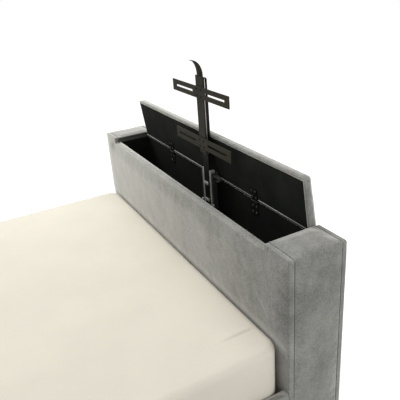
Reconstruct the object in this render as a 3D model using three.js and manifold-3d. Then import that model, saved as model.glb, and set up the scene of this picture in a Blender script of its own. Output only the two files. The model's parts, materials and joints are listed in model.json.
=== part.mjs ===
// Bed with a lift box at the foot end, mm, +Z up, head at +Y, origin at the middle of the floor area.
import * as THREE from 'three';
import { RoundedBoxGeometry } from 'three/addons/geometries/RoundedBoxGeometry.js';
import { mergeVertices } from 'three/addons/utils/BufferGeometryUtils.js';
import Module from 'manifold-3d';

const wasm = await Module();
wasm.setup();

// Overall sizes
const BOX_HEIGHT = 860;
const BOX_DEPTH = 232;
const BOX_UNDERSIDE = 30;
const HEADBOARD_THICK = 88;
const HEADBOARD_HEIGHT = 1100;
const HEADBOARD_UNDERSIDE = 130;

// Clearances
const FIT = 0.4;
const LIFT_FIT = 0.6;
const LEAN_FIT = 1;
const LID_END_FIT = 1;
const MATTRESS_SIDE_FIT = 6;
const MATTRESS_END_FIT = 6;

// Lift box
const BLOCK_WIDTH = 137;
const WALL_DROP = 28;
const PANEL_IN_THICK = 20;
const PANEL_OUT_THICK = 18;
const BOARD_IN_THICK = 12;
const BOARD_OUT_THICK = 20;
const FLOOR_LIFT = 15;
const FLOOR_THICK = 18;
const END_COVER_THICK = 8;
const SEAM_RADIUS = 5;
const COVER_RADIUS = 7;
const FOOT_RADIUS = 25;
const FOOT_INSET_X = 62;
const FOOT_INSET_Y = 55;

// Lid and hinges
const LID_THICK = 33;
const LID_LENGTH_SIDE = 210;
const LID_START = 0.6;
const LID_BOARD_THICK = 14;
const LID_EDGE_PAD = 8;
const LID_FOOT_PAD = 14;
const LID_RADIUS = 12;
const LID_LEAN_DEGREES = 7.3;
const HINGE_OFFSET = 3.5;
const HINGE_SPREAD = 371;
const LEAF_WIDTH = 42;
const LEAF_LENGTH = 58;
const LEAF_THICK = 2;
const LEAF_FIT = 0.3;
const KNUCKLE_RADIUS = 3.2;
const KNUCKLE_BORE = 2.1;
const PIN_RADIUS = 1.6;
const LEAF_ROOT = 4.6;

// Lift
const LIFT_X = -62;
const BAR_PLANE = 136;
const BAR_THICK = 5;
const BAR_HALF = 235;
const BAR_HEIGHT = 49;
const BAR_UPPER_TOP = 388;
const BAR_LOWER_TOP = 169;
const SLOT_START = 50;
const SLOT_END = 205;
const SLOT_HEIGHT = 10;
const PLATE_HALF = 28;
const PLATE_THICK = 5;
const PLATE_TOP = 432;
const PLATE_FOOT = 98;
const CARRIAGE_HALF = 23;
const CARRIAGE_TOP = 345;
const CARRIAGE_FOOT = -160;
const CARRIAGE_WALL = 3;
const GROOVE_DEPTH = 1.5;
const GROOVE_EDGE = 5;
const SHOE_HEIGHT = 14;
const SHOE_UPPER = -43;
const SHOE_LOWER = -124;
const MID_WALL = 13;
const MID_BACK = 3;
const MID_TOP = 22;
const MID_FOOT = -420;
const RUNG_HEIGHT = 14;
const RUNG_FIRST = -58;
const RUNG_SPACING = 78;
const RUNG_COUNT = 5;
const RAIL_WALL = 5;
const RAIL_BACK = 4;
const RAIL_TOP = 12;
const RIB_RISE = 3;
const RIB_HALF = 17.4;
const EAR_REACH = 10.7;
const EAR_THICK = 3;
const STRAP_WIDTH = 10;
const EAR_HEIGHT = 16;
const EAR_TOP = -130;
const CAP_WALL = 4;
const CAP_HEIGHT = 24;
const CLIP_REACH = 40;
const CLIP_THICK = 3.5;
const CLIP_WIDTH = 16;
const CLIP_CURL = 9.5;
const CLIP_DROP = 8;
const CLIP_RETURN = 22;
const KNOB_RADIUS = 11;
const KNOB_LENGTH = 14;
const KNOB_GAP = 2;
const HORN_THICK = 12;
const HORN_DEPTH = 21;
const HORN_TIP_TOP = 499;
const HORN_TIP_REACH = 52;
const HORN_ROOT = 3;
const HORN_TANG = 42;
const ARM_THICK = 10;
const ARM_BAR = 5;
const ARM_RADIUS = 10;
const ARM_TOP = 426;
const BASE_HALF = 70;
const BASE_THICK = 6;
const BASE_FRONT = 118;
const MOTOR_HALF_X = 26;
const MOTOR_DEPTH = 44;
const MOTOR_HEIGHT = 95;
const MOTOR_TUBE_RADIUS = 19;
const MOTOR_TUBE_HEIGHT = 190;

// Bed base
const RAIL_BOARD_THICK = 18;
const RAIL_PAD = 11;
const RAIL_LOW = 150;
const RAIL_HIGH = 330;
const RAIL_EDGE_PAD = 12;
const CLEAT_SIZE = 28;
const SLAT_COUNT = 11;
const SLAT_WIDTH = 100;
const SLAT_THICK = 20;
const SLAT_END_FIT = 4;
const BEAM_HALF = 30;
const BEAM_HEIGHT = 60;
const LEG_RADIUS = 20;
const BEAM_LEG_SHARE = 0.24;
const HEAD_LEG_HALF = 30;
const HEAD_LEG_INSET = 195;
const HEAD_PAD = 12;

// Mattress and sheet
const MATTRESS_WIDTH = 1600;
const MATTRESS_LENGTH = 2000;
const MATTRESS_HEIGHT = 250;
const SHEET_TOP = 517;
const SHEET_THICK = 1.6;
const MATTRESS_CORNER = 60;
const MATTRESS_EDGE = 38;
const MATTRESS_LOW_EDGE = 30;
const MATTRESS_CROWN = 9;
const MATTRESS_DRAW_IN = 5;
const CROWN_SHARES = [0.2, 0.42, 0.65, 0.86];
const EDGE_STEPS = 5;
const SIDE_POINTS = 6;
const CORNER_POINTS = 4;
const HEM_SHARE = 0.55;

// Derived planes
const BED_WIDTH = MATTRESS_WIDTH + 2 * (MATTRESS_SIDE_FIT + RAIL_BOARD_THICK + RAIL_PAD);
const BED_LENGTH = BOX_DEPTH + MATTRESS_LENGTH + 2 * MATTRESS_END_FIT + HEADBOARD_THICK;
const END_X = BED_WIDTH / 2;
const BLOCK_X = END_X - BLOCK_WIDTH;
const OUT_Y = -BED_LENGTH / 2;
const IN_Y = OUT_Y + BOX_DEPTH;
const HEAD_Y = BED_LENGTH / 2;
const HEAD_FRONT_Y = HEAD_Y - HEADBOARD_THICK;
const WALL_TOP = BOX_HEIGHT - WALL_DROP;
const PAD_IN_Y = IN_Y - PANEL_IN_THICK;
const PAD_OUT_Y = OUT_Y + PANEL_OUT_THICK;
const HINGE_WALL_Y = PAD_OUT_Y + BOARD_OUT_THICK;
const AXIS_Y = HINGE_WALL_Y + HINGE_OFFSET;
const AXIS_Z = WALL_TOP;
const BOX_FLOOR_Z = BOX_UNDERSIDE + FLOOR_LIFT + FLOOR_THICK;
const SHEET_OUT = FIT + SHEET_THICK;
const MATTRESS_TOP = SHEET_TOP - SHEET_OUT;
const MATTRESS_LOW = MATTRESS_TOP - MATTRESS_HEIGHT;
const MATTRESS_Y = (IN_Y + HEAD_FRONT_Y) / 2;
const SLAT_TOP = MATTRESS_LOW - FIT;
const SLAT_LOW = SLAT_TOP - SLAT_THICK;
const RAIL_IN_X = END_X - RAIL_PAD - RAIL_BOARD_THICK;
const BAR_Y = IN_Y - BAR_PLANE;
const PLATE_Y = BAR_Y - BAR_THICK - FIT;
const PLATE_BACK_Y = PLATE_Y - PLATE_THICK - FIT;
const CARRIAGE_Y = PLATE_BACK_Y - RIB_RISE - LIFT_FIT;
const QUARTER = Math.PI / 2;
const LEAN = (LID_LEAN_DEGREES * Math.PI) / 180;
const LID_RISE_REACH = (LID_LENGTH_SIDE - LID_RADIUS) * Math.sin(LEAN);
const LID_FACE_REACH = (HINGE_OFFSET + LID_RADIUS) * Math.cos(LEAN);
const CARRIAGE_BACK_Y = AXIS_Y + LID_RISE_REACH - LID_FACE_REACH + LID_RADIUS + LEAN_FIT;
const MID_IN = CARRIAGE_HALF + LIFT_FIT;
const MID_OUT = MID_IN + MID_WALL;
const MID_BACK_Y = CARRIAGE_BACK_Y - LIFT_FIT;
const MID_REAR_Y = MID_BACK_Y - MID_BACK;
const RAIL_IN = MID_OUT + LIFT_FIT;
const RAIL_OUT = RAIL_IN + RAIL_WALL;
const RAIL_BACK_Y = MID_REAR_Y - LIFT_FIT;
const RAIL_REAR_Y = RAIL_BACK_Y - RAIL_BACK;
const BASE_TOP = BOX_FLOOR_Z + FIT + BASE_THICK;
const SEGMENTS = 16;
const SOFT_STEPS = 2;

const MATERIALS = {
  fabric: new THREE.MeshStandardMaterial({ name: 'fabric', color: 0x9d9a90, roughness: 0.95 }),
  lining: new THREE.MeshStandardMaterial({ name: 'lining', color: 0x161614, roughness: 0.9 }),
  steel: new THREE.MeshStandardMaterial({ name: 'steel', color: 0x3f3b33, roughness: 0.45, metalness: 0.6 }),
  frame: new THREE.MeshStandardMaterial({ name: 'frame', color: 0x55564f, roughness: 0.5, metalness: 0.6 }),
  plastic: new THREE.MeshStandardMaterial({ name: 'plastic', color: 0x181818, roughness: 0.5 }),
  wood: new THREE.MeshStandardMaterial({ name: 'wood', color: 0xb48d5f, roughness: 0.7 }),
  ticking: new THREE.MeshStandardMaterial({ name: 'ticking', color: 0xe9e6dd, roughness: 0.9 }),
  cotton: new THREE.MeshStandardMaterial({ name: 'cotton', color: 0xece6d6, roughness: 0.9 }),
};

const group = new THREE.Group();
group.name = 'tv_bed';

// The lid's group stands at the hinge axis, leant towards the head.
const lidGroup = new THREE.Group();
lidGroup.position.set(0, AXIS_Y, AXIS_Z);
lidGroup.rotation.x = -LEAN;
group.add(lidGroup);

function solidOf(geometry) {
  geometry.deleteAttribute('normal');
  geometry.deleteAttribute('uv');
  const merged = mergeVertices(geometry);
  const vertProperties = Float32Array.from(merged.attributes.position.array);
  const triVerts = Uint32Array.from(merged.index.array);
  return new wasm.Manifold(new wasm.Mesh({ numProp: 3, vertProperties, triVerts }));
}

function addSolid(name, solid, material, parent = group) {
  const mesh = solid.getMesh();
  const geometry = new THREE.BufferGeometry();
  geometry.setAttribute('position', new THREE.BufferAttribute(Float32Array.from(mesh.vertProperties), 3));
  geometry.setIndex(Array.from(mesh.triVerts));
  addGeometry(name, geometry, material, parent);
}

function addGeometry(name, geometry, material, parent = group) {
  geometry.computeVertexNormals();
  const mesh = new THREE.Mesh(geometry, MATERIALS[material]);
  mesh.name = name;
  parent.add(mesh);
}

function placeBox([x0, x1], [y0, y1], [z0, z1]) {
  const size = [Math.abs(x1 - x0), Math.abs(y1 - y0), Math.abs(z1 - z0)];
  return { size, middle: [(x0 + x1) / 2, (y0 + y1) / 2, (z0 + z1) / 2] };
}

function slab(x, y, z) {
  const { size, middle } = placeBox(x, y, z);
  return solidOf(new THREE.BoxGeometry(...size).translate(...middle));
}

function softSlab(x, y, z, radius) {
  const { size, middle } = placeBox(x, y, z);
  return solidOf(new RoundedBoxGeometry(...size, SOFT_STEPS, radius).translate(...middle));
}

function postZ(radius, x, y, z0, z1) {
  const post = new THREE.CylinderGeometry(radius, radius, z1 - z0, SEGMENTS * 2);
  return solidOf(post.rotateX(QUARTER).translate(x, y, (z0 + z1) / 2));
}

function rodX(radius, x0, x1, y, z) {
  const rod = new THREE.CylinderGeometry(radius, radius, x1 - x0, SEGMENTS);
  return solidOf(rod.rotateZ(QUARTER).translate((x0 + x1) / 2, y, z));
}

// A flat outline in the Y-Z plane, given a thickness along X.
function plateX(points, x0, x1) {
  const shape = new THREE.Shape(points.map((p) => new THREE.Vector2(...p)));
  const flat = new THREE.ExtrudeGeometry(shape, { depth: x1 - x0, bevelEnabled: false });
  const turn = new THREE.Matrix4().makeBasis(
    new THREE.Vector3(0, 1, 0),
    new THREE.Vector3(0, 0, 1),
    new THREE.Vector3(1, 0, 0),
  );
  return solidOf(flat.applyMatrix4(turn).translate(x0, 0, 0));
}

// A flat outline in the X-Z plane, given a thickness along Y.
function plateY(points, [y0, y1]) {
  const shape = new THREE.Shape(points.map((p) => new THREE.Vector2(...p)));
  const flat = new THREE.ExtrudeGeometry(shape, { depth: y1 - y0, bevelEnabled: false });
  return solidOf(flat.rotateX(QUARTER).translate(0, y1, 0));
}

function boxHeight(level) {
  return BOX_HEIGHT + level;
}

function addBlocks() {
  for (const [side, name] of [[-1, 'near'], [1, 'far']]) {
    const coreEnd = side * (END_X - END_COVER_THICK - FIT);
    const core = slab(
      [side * BLOCK_X, coreEnd],
      [PAD_OUT_Y + FIT, PAD_IN_Y - FIT],
      [BOX_UNDERSIDE, BOX_HEIGHT - END_COVER_THICK - FIT],
    );
    addSolid(`end_block_${name}`, core, 'lining');
    const shell = softSlab(
      [side * BLOCK_X, side * END_X],
      [PAD_OUT_Y + FIT, PAD_IN_Y - FIT],
      [BOX_UNDERSIDE - COVER_RADIUS, BOX_HEIGHT],
      SEAM_RADIUS,
    );
    const hollow = slab(
      [side * (BLOCK_X - COVER_RADIUS), coreEnd + side * FIT],
      [OUT_Y, IN_Y],
      [0, BOX_HEIGHT - END_COVER_THICK],
    );
    const below = slab([-BED_WIDTH, BED_WIDTH], [OUT_Y, IN_Y], [0, BOX_UNDERSIDE]);
    addSolid(`end_cover_${name}`, shell.subtract(hollow).subtract(below), 'fabric');
  }
}

function addPanel(name, yFace, yBack) {
  const low = BOX_UNDERSIDE;
  const middle = softSlab([-END_X, END_X], [yFace, yBack], [low, WALL_TOP], COVER_RADIUS);
  const left = softSlab([-END_X, -BLOCK_X], [yFace, yBack], [low, BOX_HEIGHT], COVER_RADIUS);
  const right = softSlab([BLOCK_X, END_X], [yFace, yBack], [low, BOX_HEIGHT], COVER_RADIUS);
  addSolid(name, middle.add(left).add(right), 'fabric');
}

function addWalls() {
  const span = [-BLOCK_X + FIT, BLOCK_X - FIT];
  const low = BOX_UNDERSIDE + FLOOR_LIFT;
  const inBack = PAD_IN_Y - BOARD_IN_THICK;
  addSolid('box_inner_wall', slab(span, [PAD_IN_Y - FIT, inBack], [low, WALL_TOP]), 'lining');
  addSolid('box_outer_wall', slab(span, [PAD_OUT_Y + FIT, HINGE_WALL_Y], [low, WALL_TOP]), 'lining');
  const floor = slab(span, [HINGE_WALL_Y + FIT, inBack - FIT], [low, low + FLOOR_THICK]);
  addSolid('box_floor', floor, 'lining');
}

function addFeet() {
  for (const [side, name] of [[-1, 'near'], [1, 'far']]) {
    const x = side * (END_X - FOOT_INSET_X);
    const spots = [['inner', IN_Y - FOOT_INSET_Y], ['outer', OUT_Y + FOOT_INSET_Y]];
    for (const [row, y] of spots) {
      const foot = postZ(FOOT_RADIUS, x, y, 0, BOX_UNDERSIDE - FIT);
      addSolid(`box_foot_${name}_${row}`, foot, 'plastic');
    }
  }
}

// Lid pieces are drawn standing straight up from the hinge axis, inside the lid's own group.
function addLid() {
  const halfLength = BLOCK_X - LID_END_FIT;
  const under = -HINGE_OFFSET;
  const outline = softSlab(
    [-halfLength, halfLength],
    [under, under - LID_THICK],
    [LID_START, LID_LENGTH_SIDE],
    LID_RADIUS,
  );
  const boardX = halfLength - LID_EDGE_PAD;
  const boardZ = [LID_START + LID_FOOT_PAD, LID_LENGTH_SIDE - LID_EDGE_PAD];
  const board = slab([-boardX, boardX], [under, under - LID_BOARD_THICK], boardZ);
  const room = slab(
    [-boardX - FIT, boardX + FIT],
    [0, under - LID_BOARD_THICK - FIT],
    [boardZ[0] - FIT, boardZ[1] + FIT],
  );
  addSolid('lid_board', board, 'lining', lidGroup);
  addSolid('lid_cover', outline.subtract(room), 'fabric', lidGroup);
}

// A leaf drawn about its hinge axis at [0, y, z]: the wall's leaf hangs down, the lid's stands up.
function hingeLeaf(x, y, z, towardsLid) {
  const half = LEAF_WIDTH / 2;
  const sign = towardsLid ? 1 : -1;
  const back = y - HINGE_OFFSET + LEAF_FIT;
  const faces = [back, back + LEAF_THICK];
  const plate = slab([x - half, x + half], faces, [z + sign * LEAF_ROOT, z + sign * LEAF_LENGTH]);
  const ownSide = towardsLid ? [x + LEAF_FIT, x + half] : [x - half, x];
  const root = slab(ownSide, faces, [z, z + sign * (LEAF_ROOT + LEAF_FIT)]);
  const knuckle = rodX(KNUCKLE_RADIUS, ownSide[0], ownSide[1], y, z);
  const body = plate.add(root).add(knuckle);
  const pin = rodX(PIN_RADIUS, x - half, x + half, y, z);
  const bore = rodX(KNUCKLE_BORE, x - LEAF_WIDTH, x + LEAF_WIDTH, y, z);
  return towardsLid ? body.subtract(bore) : body.add(pin);
}

function addHinges() {
  for (const [side, name] of [[-1, 'near'], [1, 'far']]) {
    const x = side * HINGE_SPREAD;
    addSolid(`hinge_wall_leaf_${name}`, hingeLeaf(x, AXIS_Y, AXIS_Z, false), 'steel');
    addSolid(`hinge_lid_leaf_${name}`, hingeLeaf(x, 0, 0, true), 'steel', lidGroup);
  }
}

function addCrossbar(name, top) {
  const z = [boxHeight(top - BAR_HEIGHT), boxHeight(top)];
  const middle = (z[0] + z[1]) / 2;
  let bar = slab([LIFT_X - BAR_HALF, LIFT_X + BAR_HALF], [BAR_Y - BAR_THICK, BAR_Y], z);
  const slotZ = [middle - SLOT_HEIGHT / 2, middle + SLOT_HEIGHT / 2];
  for (const side of [-1, 1]) {
    const slotX = [LIFT_X + side * SLOT_START, LIFT_X + side * SLOT_END];
    bar = bar.subtract(slab(slotX, [BAR_Y - BAR_THICK * 2, BAR_Y + BAR_THICK], slotZ));
  }
  addSolid(name, bar, 'steel');
}

function addMast() {
  const plateX0 = [LIFT_X - PLATE_HALF, LIFT_X + PLATE_HALF];
  const plateZ = [boxHeight(PLATE_FOOT), boxHeight(PLATE_TOP)];
  addSolid('mast_plate', slab(plateX0, [PLATE_Y - PLATE_THICK, PLATE_Y], plateZ), 'steel');
  addSolid('lift_carriage', column().add(columnFront()), 'steel');
}

// The column is a tube with a groove down either side.
function column() {
  const half = CARRIAGE_HALF;
  const z = [boxHeight(CARRIAGE_FOOT), boxHeight(CARRIAGE_TOP)];
  let tube = slab([LIFT_X - half, LIFT_X + half], [CARRIAGE_BACK_Y, CARRIAGE_Y], z);
  const grooveY = [CARRIAGE_BACK_Y + GROOVE_EDGE, CARRIAGE_Y - GROOVE_EDGE];
  const grooveZ = [z[0] - CARRIAGE_WALL, z[1] + CARRIAGE_WALL];
  for (const side of [-1, 1]) {
    const grooveX = [LIFT_X + side * (half - GROOVE_DEPTH), LIFT_X + side * (half + GROOVE_DEPTH)];
    tube = tube.subtract(slab(grooveX, grooveY, grooveZ));
  }
  const bore = slab(
    [LIFT_X - half + CARRIAGE_WALL, LIFT_X + half - CARRIAGE_WALL],
    [CARRIAGE_BACK_Y + CARRIAGE_WALL, CARRIAGE_Y - CARRIAGE_WALL],
    [z[0] - CARRIAGE_WALL, z[1] - CARRIAGE_WALL],
  );
  return tube.subtract(bore);
}

// A raised rib carries the plate, and two shoes stand out at the foot.
function columnFront() {
  const x = [LIFT_X - RIB_HALF, LIFT_X + RIB_HALF];
  const y = [CARRIAGE_Y - CARRIAGE_WALL / 2, PLATE_BACK_Y];
  let front = slab(x, y, [boxHeight(PLATE_FOOT), boxHeight(CARRIAGE_TOP)]);
  for (const level of [SHOE_UPPER, SHOE_LOWER]) {
    const z = [boxHeight(level - SHOE_HEIGHT / 2), boxHeight(level + SHOE_HEIGHT / 2)];
    front = front.add(slab(x, y, z));
  }
  return front;
}

// The horn pushes the lid open: a curved finger whose tip points towards the head, with a tang
// behind the plate.
function addHorn() {
  const rootZ = boxHeight(PLATE_TOP) + FIT;
  const tipZ = boxHeight(HORN_TIP_TOP);
  const backY = BAR_Y - BAR_THICK - FIT - HORN_DEPTH + HORN_ROOT;
  const frontY = backY + HORN_DEPTH;
  const tipY = backY + HORN_TIP_REACH;
  const rise = tipZ - rootZ;
  const outer = [];
  const inner = [];
  for (let i = 0; i <= SEGMENTS / 2; i += 1) {
    const turn = (i / (SEGMENTS / 2)) * QUARTER;
    outer.push([tipY - (tipY - backY) * Math.cos(turn), rootZ + rise * Math.sin(turn)]);
    inner.push([tipY - (tipY - frontY) * Math.cos(turn), rootZ + (rise - HORN_ROOT / 2) * Math.sin(turn)]);
  }
  const points = [...inner, ...outer.reverse()];
  const x = [LIFT_X - HORN_THICK / 2, LIFT_X + HORN_THICK / 2];
  const tang = slab(x, [backY, PLATE_BACK_Y], [boxHeight(PLATE_TOP) - HORN_TANG, rootZ + HORN_ROOT / 2]);
  addSolid('lid_horn', plateX(points, ...x).add(tang), 'steel');
}

// The arm stands on the column's near side, behind the plate, as a strip with a round bend.
function addRearArm() {
  const frontY = CARRIAGE_Y;
  const backY = CARRIAGE_BACK_Y + LIFT_FIT;
  const top = boxHeight(ARM_TOP);
  const foot = boxHeight(CARRIAGE_TOP) + FIT;
  const strip = (inset) => {
    const radius = ARM_RADIUS - inset;
    const points = [[frontY - inset, foot + inset], [frontY - inset, top - inset]];
    for (let i = 0; i <= SEGMENTS / 2; i += 1) {
      const turn = QUARTER * (1 + i / (SEGMENTS / 2));
      const y = backY + ARM_RADIUS + radius * Math.cos(turn);
      points.push([y, top - ARM_RADIUS + radius * Math.sin(turn)]);
    }
    points.push([backY + inset, foot + inset]);
    return points;
  };
  const x = LIFT_X - CARRIAGE_HALF;
  const arm = plateX(strip(0), x, x + ARM_THICK);
  const gap = plateX(strip(ARM_BAR), x - ARM_THICK, x + ARM_THICK * 2);
  addSolid('rear_arm', arm.subtract(gap), 'plastic');
}

function addMidFrame() {
  const z = [boxHeight(MID_FOOT), boxHeight(MID_TOP)];
  let frame = slab([LIFT_X - MID_OUT, LIFT_X - MID_IN], [MID_REAR_Y, CARRIAGE_Y], z);
  frame = frame.add(slab([LIFT_X + MID_IN, LIFT_X + MID_OUT], [MID_REAR_Y, CARRIAGE_Y], z));
  for (let i = 0; i < RUNG_COUNT; i += 1) {
    const middle = boxHeight(RUNG_FIRST - i * RUNG_SPACING);
    const rungZ = [middle - RUNG_HEIGHT / 2, middle + RUNG_HEIGHT / 2];
    frame = frame.add(slab([LIFT_X - MID_OUT, LIFT_X + MID_OUT], [MID_REAR_Y, MID_BACK_Y], rungZ));
  }
  addSolid('lift_mid_frame', frame, 'frame');
}

// The fixed channel holds the stage between its walls.
function addFixedRail() {
  const z = [BASE_TOP + FIT, boxHeight(RAIL_TOP)];
  const body = slab([LIFT_X - RAIL_OUT, LIFT_X + RAIL_OUT], [RAIL_REAR_Y, CARRIAGE_Y], z);
  const channel = slab(
    [LIFT_X - RAIL_IN, LIFT_X + RAIL_IN],
    [RAIL_BACK_Y, CARRIAGE_Y + RAIL_WALL],
    [0, BOX_HEIGHT * 2],
  );
  addSolid('lift_outer_rail', body.subtract(channel), 'frame');
}

// The bracket goes round the channel's top. A strap runs down each of its walls to an ear for a bolt.
function addBracket() {
  const inside = RAIL_OUT + FIT;
  const outside = inside + CAP_WALL;
  const z = [boxHeight(RAIL_TOP - CAP_HEIGHT), boxHeight(RAIL_TOP)];
  const band = slab([LIFT_X - outside, LIFT_X + outside], [RAIL_REAR_Y - FIT - CAP_WALL, CARRIAGE_Y], z);
  const room = slab(
    [LIFT_X - inside, LIFT_X + inside],
    [RAIL_REAR_Y - FIT, CARRIAGE_Y + CAP_WALL],
    [z[0] - CAP_WALL, z[1] + CAP_WALL],
  );
  let bracket = band.subtract(room);
  const earZ = [boxHeight(EAR_TOP - EAR_HEIGHT), boxHeight(EAR_TOP)];
  for (const side of [-1, 1]) {
    const near = LIFT_X + side * inside;
    const strapY = [CARRIAGE_Y - STRAP_WIDTH, CARRIAGE_Y];
    const strap = slab([near, near + side * CAP_WALL], strapY, [earZ[0], z[0] + CAP_HEIGHT / 2]);
    const ear = slab([near, near + side * EAR_REACH], [CARRIAGE_Y - EAR_THICK, CARRIAGE_Y], earZ);
    bracket = bracket.add(strap).add(ear);
  }
  addSolid('lift_top_bracket', bracket, 'frame');
  return LIFT_X - outside - FIT;
}

// The side clip is a bent strip: a tab on the bracket, an arm out towards the end, and a hook that
// turns down and comes part of the way back.
function addClip(x) {
  const top = boxHeight(RAIL_TOP) - CLIP_DROP;
  const tipX = x - CLIP_REACH;
  const y = [(CARRIAGE_Y + RAIL_REAR_Y - CLIP_WIDTH) / 2, (CARRIAGE_Y + RAIL_REAR_Y + CLIP_WIDTH) / 2];
  const low = top - CLIP_CURL * 2;
  const tab = slab([x - CLIP_THICK, x], y, [top - CLIP_CURL, top]);
  const arm = slab([tipX, x], y, [top - CLIP_THICK, top]);
  const back = slab([tipX, tipX + CLIP_RETURN], y, [low, low + CLIP_THICK]);
  const arc = (radius) => {
    const points = [];
    for (let i = 0; i <= SEGMENTS; i += 1) {
      const turn = QUARTER * (1 + (2 * i) / SEGMENTS);
      points.push([tipX + radius * Math.cos(turn), top - CLIP_CURL + radius * Math.sin(turn)]);
    }
    return points;
  };
  const curl = [...arc(CLIP_CURL), ...arc(CLIP_CURL - CLIP_THICK).reverse()];
  addSolid('lift_side_clip', tab.add(arm).add(back).add(plateY(curl, y)), 'frame');
}

function addKnob() {
  const x = LIFT_X - RAIL_OUT - FIT;
  const y = (CARRIAGE_Y + RAIL_REAR_Y) / 2;
  const z = boxHeight(EAR_TOP - EAR_HEIGHT) - KNOB_RADIUS - KNOB_GAP;
  addSolid('lift_knob', rodX(KNOB_RADIUS, x - KNOB_LENGTH, x, y, z), 'plastic');
}

function addBase() {
  const motorX = LIFT_X + RAIL_OUT + FIT + MOTOR_HALF_X;
  const z = [BOX_FLOOR_Z + FIT, BASE_TOP];
  const y = [IN_Y - BASE_FRONT, RAIL_REAR_Y - CAP_WALL];
  addSolid('lift_base', slab([LIFT_X - BASE_HALF, motorX + MOTOR_HALF_X], y, z), 'frame');
  const front = (CARRIAGE_Y + RAIL_REAR_Y + MOTOR_DEPTH) / 2;
  const housing = softSlab(
    [motorX - MOTOR_HALF_X, motorX + MOTOR_HALF_X],
    [front - MOTOR_DEPTH, front],
    [BASE_TOP + FIT, BASE_TOP + MOTOR_HEIGHT],
    SEAM_RADIUS,
  );
  addSolid('lift_motor_housing', housing, 'plastic');
  const tubeLow = BASE_TOP + MOTOR_HEIGHT + FIT;
  const tubeY = front - MOTOR_DEPTH / 2;
  const tube = postZ(MOTOR_TUBE_RADIUS, motorX, tubeY, tubeLow, tubeLow + MOTOR_TUBE_HEIGHT);
  addSolid('lift_motor_tube', tube, 'plastic');
}

function addRails() {
  const y = [IN_Y + FIT, HEAD_FRONT_Y - FIT];
  for (const [side, name] of [[-1, 'near'], [1, 'far']]) {
    const boardOut = END_X - RAIL_PAD;
    const boardZ = [RAIL_LOW + RAIL_EDGE_PAD, RAIL_HIGH - RAIL_EDGE_PAD];
    addSolid(`side_rail_${name}`, slab([side * RAIL_IN_X, side * boardOut], y, boardZ), 'wood');
    const outer = softSlab([side * RAIL_IN_X, side * END_X], y, [RAIL_LOW, RAIL_HIGH], SEAM_RADIUS);
    const room = slab(
      [side * (RAIL_IN_X - RAIL_PAD), side * (boardOut + FIT)],
      [IN_Y, HEAD_FRONT_Y],
      [boardZ[0] - FIT, boardZ[1] + FIT],
    );
    addSolid(`side_rail_cover_${name}`, outer.subtract(room), 'fabric');
    const cleatX = [side * (RAIL_IN_X - FIT), side * (RAIL_IN_X - FIT - CLEAT_SIZE)];
    const cleat = slab(cleatX, y, [SLAT_LOW - FIT - CLEAT_SIZE, SLAT_LOW - FIT]);
    addSolid(`slat_cleat_${name}`, cleat, 'wood');
  }
}

function addSlats() {
  const half = RAIL_IN_X - SLAT_END_FIT;
  const first = IN_Y + SLAT_WIDTH;
  const last = HEAD_FRONT_Y - SLAT_WIDTH;
  for (let i = 0; i < SLAT_COUNT; i += 1) {
    const y = first + ((last - first) * i) / (SLAT_COUNT - 1);
    const slat = slab([-half, half], [y - SLAT_WIDTH / 2, y + SLAT_WIDTH / 2], [SLAT_LOW, SLAT_TOP]);
    addSolid(`slat_${String(i + 1).padStart(2, '0')}`, slat, 'wood');
  }
}

function addBeam() {
  const top = SLAT_LOW - FIT;
  const y = [IN_Y + FIT, HEAD_FRONT_Y - FIT];
  addSolid('centre_beam', slab([-BEAM_HALF, BEAM_HALF], y, [top - BEAM_HEIGHT, top]), 'wood');
  const spots = [['foot', -MATTRESS_LENGTH * BEAM_LEG_SHARE], ['head', MATTRESS_LENGTH * BEAM_LEG_SHARE]];
  for (const [name, offset] of spots) {
    const leg = postZ(LEG_RADIUS, 0, MATTRESS_Y + offset, 0, top - BEAM_HEIGHT - FIT);
    addSolid(`centre_leg_${name}`, leg, 'plastic');
  }
}

function addHeadboard() {
  const coreX = END_X - HEAD_PAD;
  const coreY = [HEAD_FRONT_Y + HEAD_PAD, HEAD_Y - HEAD_PAD];
  const core = slab([-coreX, coreX], coreY, [HEADBOARD_UNDERSIDE, HEADBOARD_HEIGHT - HEAD_PAD]);
  addSolid('headboard_core', core, 'wood');
  const shell = softSlab(
    [-END_X, END_X],
    [HEAD_FRONT_Y, HEAD_Y],
    [HEADBOARD_UNDERSIDE - HEAD_PAD * 2, HEADBOARD_HEIGHT],
    HEAD_PAD - FIT,
  );
  const room = slab(
    [-coreX - FIT, coreX + FIT],
    [coreY[0] - FIT, coreY[1] + FIT],
    [0, HEADBOARD_HEIGHT - HEAD_PAD + FIT],
  );
  const below = slab([-BED_WIDTH, BED_WIDTH], [HEAD_FRONT_Y - FIT, HEAD_Y + FIT], [0, HEADBOARD_UNDERSIDE]);
  addSolid('headboard_cover', shell.subtract(room).subtract(below), 'fabric');
  for (const [side, name] of [[-1, 'near'], [1, 'far']]) {
    const middle = side * (END_X - HEAD_LEG_INSET);
    const x = [middle - HEAD_LEG_HALF, middle + HEAD_LEG_HALF];
    const leg = slab(x, [coreY[0], coreY[1]], [0, HEADBOARD_UNDERSIDE - FIT]);
    addSolid(`headboard_leg_${name}`, leg, 'plastic');
  }
}

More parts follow.
